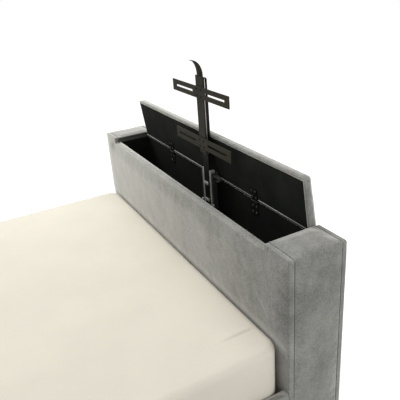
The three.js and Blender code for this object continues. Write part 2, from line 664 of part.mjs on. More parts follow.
// One ring of a rounded rectangle, always with the same count of points.
function ring(halfX, halfY, radius) {
  const points = [];
  const corners = [[1, 1], [-1, 1], [-1, -1], [1, -1]];
  for (const [turn, [sx, sy]] of corners.entries()) {
    for (let i = 0; i <= CORNER_POINTS; i += 1) {
      const angle = (turn + i / CORNER_POINTS) * QUARTER;
      const x = sx * (halfX - radius) + radius * Math.cos(angle);
      const y = sy * (halfY - radius) + radius * Math.sin(angle);
      points.push([x, y]);
    }
    const along = points[points.length - 1];
    const next = turn % 2 === 0 ? [-along[0], along[1]] : [along[0], -along[1]];
    for (let i = 1; i < SIDE_POINTS; i += 1) {
      const share = i / SIDE_POINTS;
      points.push([along[0] + (next[0] - along[0]) * share, along[1] + (next[1] - along[1]) * share]);
    }
  }
  return points;
}

function crown(share) {
  return MATTRESS_CROWN * (1 - share * share);
}

// Rings of the mattress grown by a distance, from the middle of the top down to the lower edge.
function topRings(grow, lowShare) {
  const halfX = MATTRESS_WIDTH / 2 + grow;
  const halfY = MATTRESS_LENGTH / 2 + grow;
  const top = MATTRESS_TOP + grow;
  const rounding = MATTRESS_EDGE + grow;
  const lowRounding = MATTRESS_LOW_EDGE + grow;
  const lowZ = MATTRESS_LOW + MATTRESS_LOW_EDGE;
  const corner = MATTRESS_CORNER + grow;
  const rings = [];
  const push = (inset, z) => {
    rings.push(ring(halfX - inset, halfY - inset, corner - inset).map((p) => [...p, z]));
  };
  const edge = ring(halfX - rounding, halfY - rounding, corner - rounding);
  for (const share of CROWN_SHARES) {
    rings.push(edge.map((p) => [p[0] * share, p[1] * share, top + crown(share)]));
  }
  for (let i = 0; i <= EDGE_STEPS; i += 1) {
    const angle = QUARTER * (1 - i / EDGE_STEPS);
    push(rounding * (1 - Math.cos(angle)), top - rounding * (1 - Math.sin(angle)));
  }
  push(MATTRESS_DRAW_IN, (top - rounding + lowZ) / 2);
  const steps = EDGE_STEPS - 1;
  for (let i = 0; i <= steps; i += 1) {
    const angle = (QUARTER * lowShare * i) / steps;
    push(lowRounding * (1 - Math.cos(angle)), lowZ - lowRounding * Math.sin(angle));
  }
  return rings;
}

// Joins rings into one closed skin, with a middle point at either end.
function skin(rings, firstMiddle, lastMiddle) {
  const count = rings[0].length;
  const points = [firstMiddle, ...rings.flat(), lastMiddle];
  const at = (row, i) => 1 + row * count + (i % count);
  const index = [];
  for (let i = 0; i < count; i += 1) {
    index.push(0, at(0, i), at(0, i + 1));
    index.push(points.length - 1, at(rings.length - 1, i + 1), at(rings.length - 1, i));
    for (let row = 0; row + 1 < rings.length; row += 1) {
      index.push(at(row, i), at(row + 1, i), at(row + 1, i + 1));
      index.push(at(row, i), at(row + 1, i + 1), at(row, i + 1));
    }
  }
  const flat = points.flatMap(([x, y, z]) => [x, y + MATTRESS_Y, z]);
  const geometry = new THREE.BufferGeometry();
  geometry.setAttribute('position', new THREE.BufferAttribute(Float32Array.from(flat), 3));
  geometry.setIndex(index);
  return geometry;
}

function addMattress() {
  const rings = topRings(0, 1);
  const low = rings[rings.length - 1];
  rings.push(low.map(([x, y, z]) => [x / 2, y / 2, z]));
  const geometry = skin(rings, [0, 0, MATTRESS_TOP + crown(0)], [0, 0, MATTRESS_LOW]);
  addGeometry('mattress', geometry, 'ticking');
}

function addSheet() {
  const outer = topRings(SHEET_OUT, HEM_SHARE);
  const inner = topRings(FIT, HEM_SHARE).reverse();
  const top = MATTRESS_TOP + crown(0);
  const geometry = skin([...outer, ...inner], [0, 0, top + SHEET_OUT], [0, 0, top + FIT]);
  addGeometry('fitted_sheet', geometry, 'cotton');
}

addWalls();
addBlocks();
addPanel('panel_inner', IN_Y, PAD_IN_Y);
addPanel('panel_outer', OUT_Y, PAD_OUT_Y);
addFeet();
addLid();
addHinges();
addBase();
addFixedRail();
addClip(addBracket());
addKnob();
addMidFrame();
addMast();
addHorn();
addRearArm();
addCrossbar('crossbar_upper', BAR_UPPER_TOP);
addCrossbar('crossbar_lower', BAR_LOWER_TOP);
addRails();
addSlats();
addBeam();
addHeadboard();
addMattress();
addSheet();

export default group;
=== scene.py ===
"""A bed with a screen lift in its foot end: upholstery, bedding, fittings and stage."""

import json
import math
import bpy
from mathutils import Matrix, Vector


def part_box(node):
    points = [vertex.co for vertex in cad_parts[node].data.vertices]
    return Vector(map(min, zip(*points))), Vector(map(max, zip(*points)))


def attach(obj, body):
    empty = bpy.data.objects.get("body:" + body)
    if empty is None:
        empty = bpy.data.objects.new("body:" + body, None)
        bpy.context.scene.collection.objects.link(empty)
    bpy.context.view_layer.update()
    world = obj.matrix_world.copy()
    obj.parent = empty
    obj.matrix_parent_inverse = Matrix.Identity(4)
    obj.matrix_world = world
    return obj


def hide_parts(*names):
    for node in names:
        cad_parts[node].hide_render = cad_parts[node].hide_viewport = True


bl_info = {
    "name": "Lift bed",
    "version": (1, 0, 0),
    "blender": (4, 5, 0),
    "location": "View3D > Sidebar > Lift bed",
    "description": "Dresses the lift bed with its upholstery, bedding, lift fittings and stage",
    "category": "Object",
}

from functools import partial

import bmesh
import bpy
from mathutils import Matrix, Vector, noise

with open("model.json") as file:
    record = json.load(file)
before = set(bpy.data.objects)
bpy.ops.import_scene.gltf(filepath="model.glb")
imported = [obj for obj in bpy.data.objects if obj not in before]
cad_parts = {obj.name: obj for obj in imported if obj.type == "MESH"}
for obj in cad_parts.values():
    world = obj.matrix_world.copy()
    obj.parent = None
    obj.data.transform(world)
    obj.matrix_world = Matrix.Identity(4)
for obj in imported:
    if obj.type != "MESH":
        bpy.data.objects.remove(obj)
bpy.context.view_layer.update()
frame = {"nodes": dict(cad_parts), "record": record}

UP = Vector((0, 0, 1))
AXES = (Vector((1, 0, 0)), Vector((0, 1, 0)), UP)
HINGE = next(j for j in frame["record"]["behaviour"]["joints"] if j["name"] == "lid_hinge")["pos_m"]
LID_LEAN = math.radians(7.3)
NEAR = 1e-6  # points that are closer than this to a plane lie on it


# Settings that a user would change


length = partial(bpy.props.FloatProperty, unit="LENGTH")
tint = partial(bpy.props.FloatVectorProperty, subtype="COLOR")


class LiftBedUpholstery(bpy.types.PropertyGroup):
    corner_radius: length(
        name="Corner radius", default=0.006, description="Rounding of the padded outer corners",
    )
    seam_radius: length(
        name="Seam radius", default=0.003, description="Rounding where two panels are sewn",
    )
    puff: length(
        name="Puff", default=0.0065, description="How far the foam crowns in the middle of a panel",
    )
    grid: length(
        name="Grid", default=0.03, description="Spacing of the mesh lines on the padded faces",
    )
    light: tint(
        name="Fabric, raised nap", default=(0.311, 0.31, 0.29),
        description="Velour where the nap catches light",
    )
    dark: tint(
        name="Fabric, pressed nap", default=(0.146, 0.1465, 0.137),
        description="Velour where the nap lies away",
    )


class LiftBedBedding(bpy.types.PropertyGroup):
    corner_radius: length(
        name="Corner radius", default=0.06, description="Mattress corner seen from above",
    )
    edge_radius: length(
        name="Edge radius", default=0.026, description="Rounding of the mattress's top edge",
    )
    crown: length(
        name="Crown", default=0.009, description="Rise of the mattress towards its middle",
    )
    sheet_thickness: length(
        name="Sheet thickness", default=0.0014, description="Thickness of the fitted sheet",
    )
    cream: tint(name="Sheet", default=(0.74, 0.70, 0.605), description="Colour of the cotton sheet")


class LiftBedMetal(bpy.types.PropertyGroup):
    brown: tint(
        name="Mast", default=(0.018, 0.0165, 0.0085),
        description="Painted steel of the mast and crossbars",
    )
    grey: tint(
        name="Stage", default=(0.5, 0.51, 0.485),
        description="Zinc-plated steel of the lift's inner frame",
    )
    screw_radius: length(
        name="Screw radius", default=0.0065, description="Bolt heads on the bracket's ears",
    )


# Shader expressions


class Flow:
    """A value on its way through a material, which Python's own signs can work on."""

    def __init__(self, tree, socket):
        self.tree = tree
        self.socket = socket

    def _math(self, operation, first, second):
        node = self.tree.nodes.new("ShaderNodeMath")
        node.operation = operation
        connect(self.tree, node.inputs[0], first)
        connect(self.tree, node.inputs[1], second)
        return Flow(self.tree, node.outputs[0])

    def __add__(self, other):
        return self._math("ADD", self, other)

    def __radd__(self, other):
        return self._math("ADD", other, self)

    def __mul__(self, other):
        return self._math("MULTIPLY", self, other)

    def __rmul__(self, other):
        return self._math("MULTIPLY", other, self)

    def most(self, other):
        return self._math("MAXIMUM", self, other)


def connect(tree, socket, value):
    if isinstance(value, Flow):
        tree.links.new(value.socket, socket)
    elif value is not None:
        socket.default_value = value


class Finish:
    """A material being put together node by node."""

    MIX_FIRST, MIX_SECOND, MIX_RESULT = 6, 7, 2  # the colour sockets of a Mix node

    def __init__(self, name):
        self.material = bpy.data.materials.new(name)
        self.material.use_nodes = True
        self.tree = self.material.node_tree
        self.tree.nodes.clear()

    def node(self, kind, settings=None, inputs=None, output=0):
        node = self.tree.nodes.new("ShaderNode" + kind)
        for key, value in (settings or {}).items():
            setattr(node, key, value)
        for key, value in (inputs or {}).items():
            connect(self.tree, node.inputs[key], value)
        return Flow(self.tree, node.outputs[output])

    def coords(self):
        return self.node("TexCoord", output="Object")

    def place(self, stretch=(1, 1, 1)):
        return self.node("Mapping", inputs={"Vector": self.coords(), "Scale": stretch})

    def height(self):
        return self.node("SeparateXYZ", inputs={"Vector": self.coords()}, output="Z")

    def noise(self, scale, detail=2.0, stretch=(1, 1, 1), roughness=0.5):
        inputs = {"Vector": self.place(stretch), "Scale": scale, "Detail": detail}
        return self.node("TexNoise", inputs={**inputs, "Roughness": roughness})

    def ramp(self, value, low, high, start=0.0, end=1.0):
        inputs = {"Value": value, "From Min": low, "From Max": high, "To Min": start, "To Max": end}
        return self.node("MapRange", {"clamp": True}, inputs)

    def blend(self, factor, first, second):
        ends = {self.MIX_FIRST: colour(first), self.MIX_SECOND: colour(second)}
        return self.node("Mix", {"data_type": "RGBA"}, {"Factor": factor, **ends}, self.MIX_RESULT)

    def bump(self, height, distance, strength, under=None):
        inputs = {"Height": height, "Distance": distance, "Strength": strength, "Normal": under}
        return self.node("Bump", inputs=inputs)

    def surface(self, shade, roughness, normal=None, **more):
        named = {key.replace("_", " "): value for key, value in more.items()}
        named.update({"Base Color": shade, "Roughness": roughness, "Normal": normal})
        shader = self.node("BsdfPrincipled", inputs=named)
        output = self.tree.nodes.new("ShaderNodeOutputMaterial")
        connect(self.tree, output.inputs["Surface"], shader)
        return self.material


def colour(value):
    if isinstance(value, Flow):
        return value
    return (*value, 1.0)[:4]


def toned(tone, factor, more=0.0):
    """A colour made lighter or darker by a factor."""
    return [min(1.0, value * factor + more) for value in tone]


# Finishes


def velour(light, dark):
    """Short-piled grey velour: nap, brushed strokes, clouds, a sheen at a low angle, and a painted
    sheen that lightens its colour where it is seen at a low angle.
    """
    make = Finish("grey_velour")
    clouds = make.noise(5.0, 3.0, roughness=0.6)
    brushed = make.noise(22.0, 3.0, (1, 1, 0.75), 0.6)
    tufts = make.noise(70.0, 3.0, roughness=0.7)
    nap = make.noise(230.0, 2.0, roughness=0.7)
    fibre = make.noise(1500.0, 1.0)
    tone = clouds * 0.26 + brushed * 0.2 + tufts * 0.14 + nap * 0.4
    shade = make.blend(make.ramp(tone, 0.4, 0.6), dark, light)
    drift = make.noise(8.0, 3.0, (1, 1, 0.8), 0.55)
    cooler = (0.968, 0.98, 0.998)
    cool = make.node("VectorMath", {"operation": "MULTIPLY"}, {0: shade, 1: cooler})
    shade = make.blend(make.ramp(drift, 0.42, 0.6), shade, cool)
    dents = make.bump(make.noise(11.0, 3.0), 0.004, 0.5)
    weave = make.bump(tufts * 0.4 + nap * 0.4 + fibre * 0.2, 0.002, 0.6, dents)
    # Painted sheen: where the velour is seen at a low angle, its colour is blended towards a velour
    # about twice as light.
    painted_sheen_facing = make.node("LayerWeight", inputs={"Blend": 0.5, "Normal": dents}, output="Facing")
    raised = make.ramp(painted_sheen_facing, 0.54, 0.84)
    shade = make.blend(raised * 0.8, shade, toned(light, 2.05))
    return make.surface(
        shade, 0.92, weave, Sheen_Weight=0.6, Sheen_Roughness=0.45,
        Sheen_Tint=(0.9, 0.89, 0.85, 1), Specular_IOR_Level=0.15,
    )


def lining_cloth(name="black_lining", edge_height=None, lift=1.0):
    """Black lining stretched over board; above the edge height the velour is turned in over it."""
    make = Finish(name)
    cloud = make.noise(12.0, 3.0)
    grain = make.noise(900.0, 2.0)
    tone = make.ramp(cloud * 0.6 + grain * 0.4, 0.35, 0.65)
    deep, worn = (0.0068, 0.0078, 0.0064), (0.0128, 0.0143, 0.0118)
    # lift scales the whole lining's colour; above 1 it is painted light, as on the lid's copy.
    shade = make.blend(tone, toned(deep, lift), toned(worn, lift))
    if edge_height is not None:
        above = make.ramp(make.height(), edge_height - 0.003, edge_height)
        shade = make.blend(above, shade, (0.09, 0.092, 0.085))
    weave = make.bump(grain, 0.0004, 0.4, make.bump(cloud, 0.002, 0.3))
    return make.surface(shade, 0.9, weave, Specular_IOR_Level=0.08)


def painted_steel(name, tone, roughness=0.42):
    """Dark paint over steel, a touch lighter where hands and screws have rubbed it."""
    make = Finish(name)
    cloud = make.noise(26.0, 4.0)
    speck = make.noise(700.0, 2.0)
    shade = make.blend(make.ramp(cloud, 0.42, 0.7), tone, toned(tone, 1.45, 0.004))
    peel = make.bump(speck, 0.0002, 0.35)
    rough = make.ramp(cloud, 0.3, 0.7, roughness - 0.07, roughness + 0.1)
    return make.surface(shade, rough, peel, Specular_IOR_Level=0.12)


def plated_steel(tone, name="plated_steel"):
    """Zinc plate with its faint crystal pattern and rolling marks along the channel."""
    make = Finish(name)
    crystal = make.node("TexVoronoi", inputs={"Vector": make.place(), "Scale": 90.0})
    rolled = make.noise(220.0, 2.0, (1, 1, 0.05))
    tint = make.ramp(crystal * 0.5 + rolled * 0.5, 0.2, 0.8)
    shade = make.blend(tint, toned(tone, 0.7), toned(tone, 1.25))
    rough = make.ramp(crystal, 0.0, 1.0, 0.3, 0.5)
    return make.surface(shade, rough, make.bump(rolled, 0.0002, 0.3), Metallic=0.4)


def moulded_plastic():
    """Black moulded plastic with a fine spark-eroded grain."""
    make = Finish("moulded_plastic")
    grain = make.noise(1100.0, 2.0)
    cloud = make.noise(18.0, 2.0)
    shade = make.blend(cloud, (0.012, 0.012, 0.012), (0.022, 0.022, 0.021))
    rough = make.ramp(grain, 0.3, 0.7, 0.42, 0.58)
    return make.surface(shade, rough, make.bump(grain, 0.0002, 0.4))


def planed_pine(along):
    """Planed pine: growth rings drawn out along the board, pores, and paler sapwood."""
    make = Finish("planed_pine_" + "xyz"[along])
    stretch = [9.0, 9.0, 9.0]
    stretch[along] = 0.55
    sway = make.noise(1.2, 3.0, stretch)
    rings = make.node(
        "TexWave", {"wave_type": "BANDS", "bands_direction": "DIAGONAL"},
        {"Vector": make.place(stretch), "Scale": 2.2, "Distortion": 7.0, "Detail": 3.0},
    )
    pores = make.noise(60.0, 3.0, [value * 3 for value in stretch])
    tone = rings * 0.55 + sway * 0.3 + pores * 0.15
    shade = make.blend(make.ramp(tone, 0.25, 0.75), (0.62, 0.42, 0.23), (0.4, 0.235, 0.11))
    rough = make.ramp(pores, 0.3, 0.7, 0.55, 0.7)
    return make.surface(shade, rough, make.bump(tone, 0.0006, 0.35))


def knitted_ticking():
    """Off-white knitted mattress cloth with a quilted diamond relief, whose sunk lines are painted
    darker as shade.
    """
    make = Finish("knitted_ticking")
    first, second = (
        make.node(
            "TexWave", {"bands_direction": "DIAGONAL"},
            {"Vector": make.place((side, 1, 0)), "Scale": 5.0},
        )
        for side in (1, -1)
    )
    knit = make.noise(900.0, 2.0)
    groove_relief_and_painted_shade = make.ramp(first * second, 0.0, 0.35)
    # Painted shade: the quilting lines are darkened in the cloth's colour as well as dented by the
    # bump.
    tone = make.ramp(groove_relief_and_painted_shade * 0.7 + knit * 0.3, 0.1, 0.9)
    shade = make.blend(tone, (0.66, 0.64, 0.59), (0.84, 0.83, 0.79))
    relief = make.bump(knit, 0.0006, 0.4, make.bump(groove_relief_and_painted_shade, 0.004, 0.6))
    return make.surface(shade, 0.9, relief, Sheen_Weight=0.2)


def sheet_cotton(cream):
    """Cream cotton sateen: crossed threads and soft undulations."""
    make = Finish("sheet_cotton")
    warp = make.noise(900.0, 1.0, (1, 0.12, 1))
    weft = make.noise(900.0, 1.0, (0.12, 1, 1))
    cloud = make.noise(5.0, 3.0)
    threads = warp * 0.5 + weft * 0.5
    tone = make.ramp(cloud * 0.55 + threads * 0.45, 0.35, 0.65)
    shade = make.blend(tone, toned(cream, 0.93), cream)
    soft = make.bump(make.noise(9.0, 3.0), 0.006, 0.35)
    cloth = make.bump(threads, 0.0006, 0.3, soft)
    return make.surface(shade, 0.85, cloth, Sheen_Weight=0.15, Specular_IOR_Level=0.25)


def seam_thread(tone):
    """Painted shade: a twisted cord far darker than the velour, laid in a seam to stand for the
    shadow in its hollow.
    """
    make = Finish("seam_thread")
    twist = make.noise(2500.0, 1.0, (1, 1, 0.3))
    shade = make.blend(twist, toned(tone, 0.36), toned(tone, 0.5))
    return make.surface(shade, 0.8, make.bump(twist, 0.0002, 0.5), Specular_IOR_Level=0.1)


def velour_piping(tone):
    """Grey piping cloth, paler than the velour, in patches of weave at random."""
    make = Finish("edge_piping")
    weave = make.noise(900.0, 2.0)
    patch = make.noise(14.0, 2.0)
    shade = make.blend(weave * 0.5 + patch * 0.5, toned(tone, 0.8), toned(tone, 1.35))
    return make.surface(shade, 0.85, make.bump(weave, 0.0003, 0.4), Specular_IOR_Level=0.2)


def woven_tape():
    """Dark grey herringbone tape."""
    make = Finish("woven_tape")
    inputs = {"Vector": make.place(), "Scale": 160.0, "Distortion": 1.5}
    rib = make.node("TexWave", {"bands_direction": "X"}, inputs)
    shade = make.blend(rib, (0.028, 0.029, 0.026), (0.05, 0.051, 0.047))
    return make.surface(shade, 0.85, make.bump(rib, 0.0004, 0.4), Specular_IOR_Level=0.2)


FINISHES = {}
NODE_FINISHES = (
    ("block_lining", ("end_block_",)),
    ("lid_lining", ("lid_board",)),
    ("lining", ("box_inner", "box_outer", "box_floor")),
    ("black", ("hinge_", "rear_arm", "lift_carriage")),
    ("channel", ("lift_outer", "lift_top", "lift_side")),
    ("brown", ("crossbar_", "mast_plate", "lid_horn")),
    ("grey", ("lift_mid", "lift_base")),
    ("plastic", ("box_foot", "lift_motor", "lift_knob", "centre_leg", "headboard_leg")),
    ("pine_x", ("slat_0", "slat_1", "headboard_core")),
    ("pine_y", ("side_rail_near", "side_rail_far", "slat_cleat", "centre_beam")),
    ("velour", ("panel_", "end_cover", "lid_cover", "side_rail_cover", "headboard_cover")),
    ("ticking", ("mattress",)),
    ("cotton", ("fitted_sheet",)),
)


def make_finishes():
    cloth = bpy.context.scene.lift_bed_upholstery
    metal = bpy.context.scene.lift_bed_metal
    bedding = bpy.context.scene.lift_bed_bedding
    FINISHES.update(
        velour=velour(tuple(cloth.light), tuple(cloth.dark)),
        lining=lining_cloth(),
        # Painted light: the lid's lining is the box's black lining made 1.6 times lighter, standing
        # in for light on the lid.
        lid_lining=lining_cloth("lid_lining", lift=1.6),
        block_lining=lining_cloth("block_lining", HINGE[2] + 0.002),
        brown=painted_steel("brown_steel", tuple(metal.brown)),
        black=painted_steel("black_steel", (0.0075, 0.0075, 0.007), 0.4),
        bright=plated_steel((0.5, 0.5, 0.49), "bright_zinc"),
        dull=plated_steel((0.15, 0.15, 0.14), "dull_zinc"),
        channel=plated_steel((0.07, 0.074, 0.069), "dark_zinc"),
        piping=velour_piping(tuple(cloth.light)),
        grey=plated_steel(tuple(metal.grey)),
        plastic=moulded_plastic(),
        pine_x=planed_pine(0),
        pine_y=planed_pine(1),
        ticking=knitted_ticking(),
        cotton=sheet_cotton(tuple(bedding.cream)),
        # Painted shade: the dark cord finish that stands for the shadow in the seams.
        thread=seam_thread(tuple(cloth.dark)),
        tape=woven_tape(),
    )


class LIFTBED_OT_finishes(bpy.types.Operator):
    """Make the finishes and give them to the CAD pieces that stay"""

    bl_idname = "lift_bed.finishes"
    bl_label = "Finishes"

    def execute(self, context):
        make_finishes()
        for name, thing in frame["nodes"].items():
            finish = next(key for key, starts in NODE_FINISHES if name.startswith(starts))
            thing.data.materials.clear()
            thing.data.materials.append(FINISHES[finish])
        return {"FINISHED"}


# Mesh helpers


def corners_of(node):
    low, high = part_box(node)
    return Vector(low), Vector(high)


def box_mesh(low, high):
    mesh = bmesh.new()
    bmesh.ops.create_cube(mesh, size=1)
    low, high = Vector(low), Vector(high)
    bmesh.ops.scale(mesh, vec=high - low, verts=mesh.verts)
    bmesh.ops.translate(mesh, vec=(low + high) / 2, verts=mesh.verts)
    return mesh


def lies_at(part, axis, value, reach=NEAR):
    return all(abs(vert.co[axis] - value) < reach for vert in part.verts)


def faces_at(mesh, axis, value):
    return [face for face in mesh.faces if lies_at(face, axis, value)]


def edges_on(mesh, axis, value):
    """The outline of the flat side that lies at a value along an axis."""
    flat = set(faces_at(mesh, axis, value))
    return [e for e in mesh.edges if sum(face in flat for face in e.link_faces) == 1]


def edges_along(mesh, axis):
    way = lambda edge: (edge.verts[1].co - edge.verts[0].co).normalized()
    return [e for e in mesh.edges if abs(way(e)[axis]) > 0.999]


def round_edges(mesh, edges, radius, steps=4):
    bmesh.ops.bevel(
        mesh, geom=edges, offset=radius, segments=steps, profile=0.5, affect="EDGES", material=-1,
        clamp_overlap=True,
    )


def pull_out(mesh, faces, way):
    """Extrudes faces and moves the new ones."""
    grown = bmesh.ops.extrude_face_region(mesh, geom=faces)["geom"]
    moved = [part for part in grown if isinstance(part, bmesh.types.BMVert)]
    bmesh.ops.translate(mesh, vec=way, verts=moved)


def cut(mesh, axis, value):
    """Cuts the mesh by the plane across an axis at a value, so that it can bend there."""
    bmesh.ops.bisect_plane(
        mesh, geom=mesh.verts[:] + mesh.edges[:] + mesh.faces[:], dist=NEAR,
        plane_co=AXES[axis] * value, plane_no=AXES[axis],
    )


def cut_grid(mesh, axis, low, high, step):
    count = max(1, round((high - low) / step))
    for i in range(1, count):
        cut(mesh, axis, low + (high - low) * i / count)


def smooth_step(value):
    value = max(0.0, min(1.0, value))
    return value * value * (3 - 2 * value)


def join_part(mesh, part):
    """Adds a finished part to a mesh."""
    data = bpy.data.meshes.new("part")
    part.to_mesh(data)
    part.free()
    mesh.from_mesh(data)
    bpy.data.meshes.remove(data)


def bevelled_bar(mesh, low, high, radius=0.0006):
    part = box_mesh(low, high)
    round_edges(part, part.edges[:], radius, 2)
    join_part(mesh, part)


def finish_piece(name, mesh, finish, body):
    data = bpy.data.meshes.new(name)
    bmesh.ops.recalc_face_normals(mesh, faces=mesh.faces)
    mesh.to_mesh(data)
    mesh.free()
    for polygon in data.polygons:
        polygon.use_smooth = True
    data.materials.append(FINISHES[finish])
    piece = bpy.data.objects.new(name, data)
    bpy.context.scene.collection.objects.link(piece)
    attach(piece, body)
    return piece


def added_piece(name, mesh, finish, body):
    """A piece that stands for no CAD node."""
    piece = finish_piece(name, mesh, finish, body)


def add_wall(piece, thickness, inwards=True):
    """Gives an open skin its wall."""
    wall = piece.modifiers.new("wall", "SOLIDIFY")
    wall.thickness = thickness
    wall.offset = -1 if inwards else 1
    wall.use_even_offset = inwards


def declare_pad(node):
    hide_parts(node)


def dent(point, strength, seed):
    """Slow unevenness of foam under cloth."""
    here = Vector((point.x, point.y, point.z)) * 5.5 + Vector((seed, seed * 2.3, seed * 0.7))
    return noise.noise(here) * strength


def ripple(along, seed=0.0):
    """Small puckers of cloth along a sewn or folded edge."""
    quick = noise.noise(Vector((along * 42.0, seed, 1.7)))
    slow = noise.noise(Vector((along * 9.0, seed, 6.1)))
    return quick * 0.0012 + slow * 0.0022


CLOTH_FRAMES = 20
CLOTH_SETTINGS = {
    "quality": 6, "mass": 0.25, "air_damping": 4, "vertex_group_mass": "sewn",
    "tension_stiffness": 25, "compression_stiffness": 25,
    "shear_stiffness": 8, "bending_stiffness": 0.6,
    "use_pressure": True, "uniform_pressure_force": 4.0,
}


def settle(piece, limit, slack):
    """Settles a pad's cloth over its filling by a short simulation; limit caps each point's way."""
    scene = bpy.context.scene
    starts = [vert.co.copy() for vert in piece.data.vertices]
    limits = [limit(start) for start in starts]
    sewn = piece.vertex_groups.new(name="sewn")
    sewn.add([i for i, reach in enumerate(limits) if reach <= 0], 1.0, "REPLACE")
    cloth = piece.modifiers.new("cloth", "CLOTH")
    for key, value in CLOTH_SETTINGS.items():
        setattr(cloth.settings, key, value)
    cloth.settings.shrink_min = -slack
    cloth.settings.effector_weights.gravity = 0
    cloth.collision_settings.use_collision = False
    cloth.point_cache.frame_start = 1
    cloth.point_cache.frame_end = CLOTH_FRAMES
    for number in range(1, CLOTH_FRAMES + 1):
        scene.frame_set(number)
    shaped = piece.evaluated_get(bpy.context.evaluated_depsgraph_get())
    ends = [vert.co.copy() for vert in shaped.data.vertices]
    piece.modifiers.remove(cloth)
    piece.vertex_groups.clear()
    scene.frame_set(1)
    for vert, start, end, reach in zip(piece.data.vertices, starts, ends, limits):
        way = end - start
        if reach > 0 and way.length >= 1e-7:
            vert.co = start + way * min(1.0, reach / way.length)


def seam_cord(name, paths, radius, body, finish="thread"):
    """A cord along one or more paths, drawn as bevelled curves and turned into a mesh; by default
    it wears the dark finish that paints a seam's shadow.
    """
    data = bpy.data.curves.new(name, "CURVE")
    data.dimensions = "3D"
    data.bevel_depth = radius
    data.bevel_resolution = 2
    data.use_fill_caps = True
    for path in paths:
        spline = data.splines.new("POLY")
        spline.points.add(len(path) - 1)
        for point, place in zip(spline.points, path):
            point.co = (*place, 1)
    drawn = bpy.data.objects.new(name + "_path", data)
    mesh = bmesh.new()
    mesh.from_mesh(drawn.to_mesh())
    drawn.to_mesh_clear()
    bpy.data.objects.remove(drawn)
    bpy.data.curves.remove(data)
    bmesh.ops.remove_doubles(mesh, verts=mesh.verts, dist=NEAR)
    added_piece(name, mesh, finish, body)


def round_corner(points, radius, steps=5):
    """A polyline whose inner corners are rounded."""
    path = [points[0]]
    for before, corner, after in zip(points, points[1:], points[2:]):
        back = (Vector(before) - Vector(corner)).normalized() * radius
        ahead = (Vector(after) - Vector(corner)).normalized() * radius
        for i in range(steps + 1):
            turn = math.pi / 2 * i / steps
            bend = back * (1 - math.sin(turn)) + ahead * (1 - math.cos(turn))
            path.append(Vector(corner) + bend)
    path.append(points[-1])
    return path


def swell(mesh, sign, low, high, puff, seed, keep=lambda point: 1.0):
    """Crowns a pad's front or back: round towards its sides, soft towards its top and foot."""
    side_round, end_fall, unevenness = 0.04, 0.055, 0.2
    middle = (low.y + high.y) / 2
    for vert in mesh.verts:
        if (vert.co.y - middle) * sign <= 0:
            continue
        side = max(0.0, min(1.0, min(vert.co.x - low.x, high.x - vert.co.x) / side_round))
        end = min(vert.co.z - low.z, high.z - vert.co.z)
        rise = math.sqrt(side * (2 - side)) * smooth_step(end / end_fall) * keep(vert.co)
        vert.co.y += sign * rise * (puff + dent(vert.co, puff * unevenness, seed))


# Upholstery of the lift box


PANEL_CORNER = 0.007  # rounding of the panels' upright corners and of the wraps' top edge
PANEL_CUTS = (0.009, 0.012, 0.019, 0.026)  # close mesh lines beside the panels' ends
NOTCH_CUT = 0.012  # mesh line below the notch
PANEL_SETTLE, WRAP_SETTLE, LID_SETTLE = 0.004, 0.0022, 0.0035  # how far the cloth may settle
SHARP = 1.0  # edges that bend by more radians than this are shaded as edges


def notch_outline(low, high):
    """A panel's outline, with the notch in which the lid lies when it is closed."""
    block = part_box("end_cover_near")[1][0]
    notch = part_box("box_inner_wall")[1][2]
    outline = [
        (low.x, low.z), (high.x, low.z), (high.x, high.z), (-block, high.z),
        (-block, notch), (block, notch), (block, high.z), (low.x, high.z),
    ]
    return block, notch, outline


def notched_panel(name, node, front):
    """A padded panel with the lid's notch: towards the mattress or outwards, as front says."""
    sizes = bpy.context.scene.lift_bed_upholstery
    low, high = corners_of(node)
    block, notch, outline = notch_outline(low, high)
    mesh = bmesh.new()
    face = mesh.faces.new([mesh.verts.new((x, low.y, z)) for x, z in outline])
    pull_out(mesh, [face], (0, high.y - low.y, 0))
    face_y, back_y = (high.y, low.y) if front else (low.y, high.y)
    off_notch = lambda vert: abs(vert.co.z - notch) > 1e-5
    upright = lambda edge: all(abs(abs(v.co.x) + block) < 1e-5 for v in edge.verts)
    corners = [e for e in edges_along(mesh, 1) if off_notch(e.verts[0])]
    round_edges(mesh, corners, PANEL_CORNER)
    rim = [e for e in edges_on(mesh, 1, face_y) if not upright(e)]
    round_edges(mesh, rim, sizes.corner_radius)
    seam = edges_on(mesh, 1, back_y)
    if front:
        seam = [e for e in seam if any(off_notch(v) for v in e.verts)]
    round_edges(mesh, seam, sizes.seam_radius, 3)
    cut(mesh, 2, notch - NOTCH_CUT)
    cut_grid(mesh, 0, low.x, high.x, sizes.grid * 0.5)
    cut_grid(mesh, 2, low.z, high.z, sizes.grid * 0.5)
    for offset in PANEL_CUTS:
        for x in (low.x + offset, high.x - offset):
            cut(mesh, 0, x)
    bedding_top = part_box("fitted_sheet")[1][2]
    sign = 1 if front else -1

    def above(point):
        return smooth_step((point.z - bedding_top + 0.03) / 0.05) if front else 1.0

    def clear(point):
        return math.hypot(max(abs(point.x) - abs(block), 0), max(notch - point.z, 0))

    def keep(point):
        return above(point) * (0.4 + 0.6 * smooth_step(clear(point) / 0.07))

    def reach(point):
        ends = (point.x - low.x, high.x - point.x, point.z - low.z, high.z - point.z)
        room = smooth_step((min(*ends, clear(point)) - 0.004) / 0.06)
        deep = smooth_step(((point.y - back_y) * sign - 0.006) / 0.006)
        return PANEL_SETTLE * deep * keep(point) * room

    swell(mesh, sign, low, high, sizes.puff, 3.1 if front else 8.4, keep)
    for edge in mesh.edges:
        edge.smooth = not edge.is_manifold or edge.calc_face_angle() < SHARP
    piece = finish_piece(name, mesh, "velour", "bed")
    settle(piece, reach, 0.003)
    declare_pad(node)


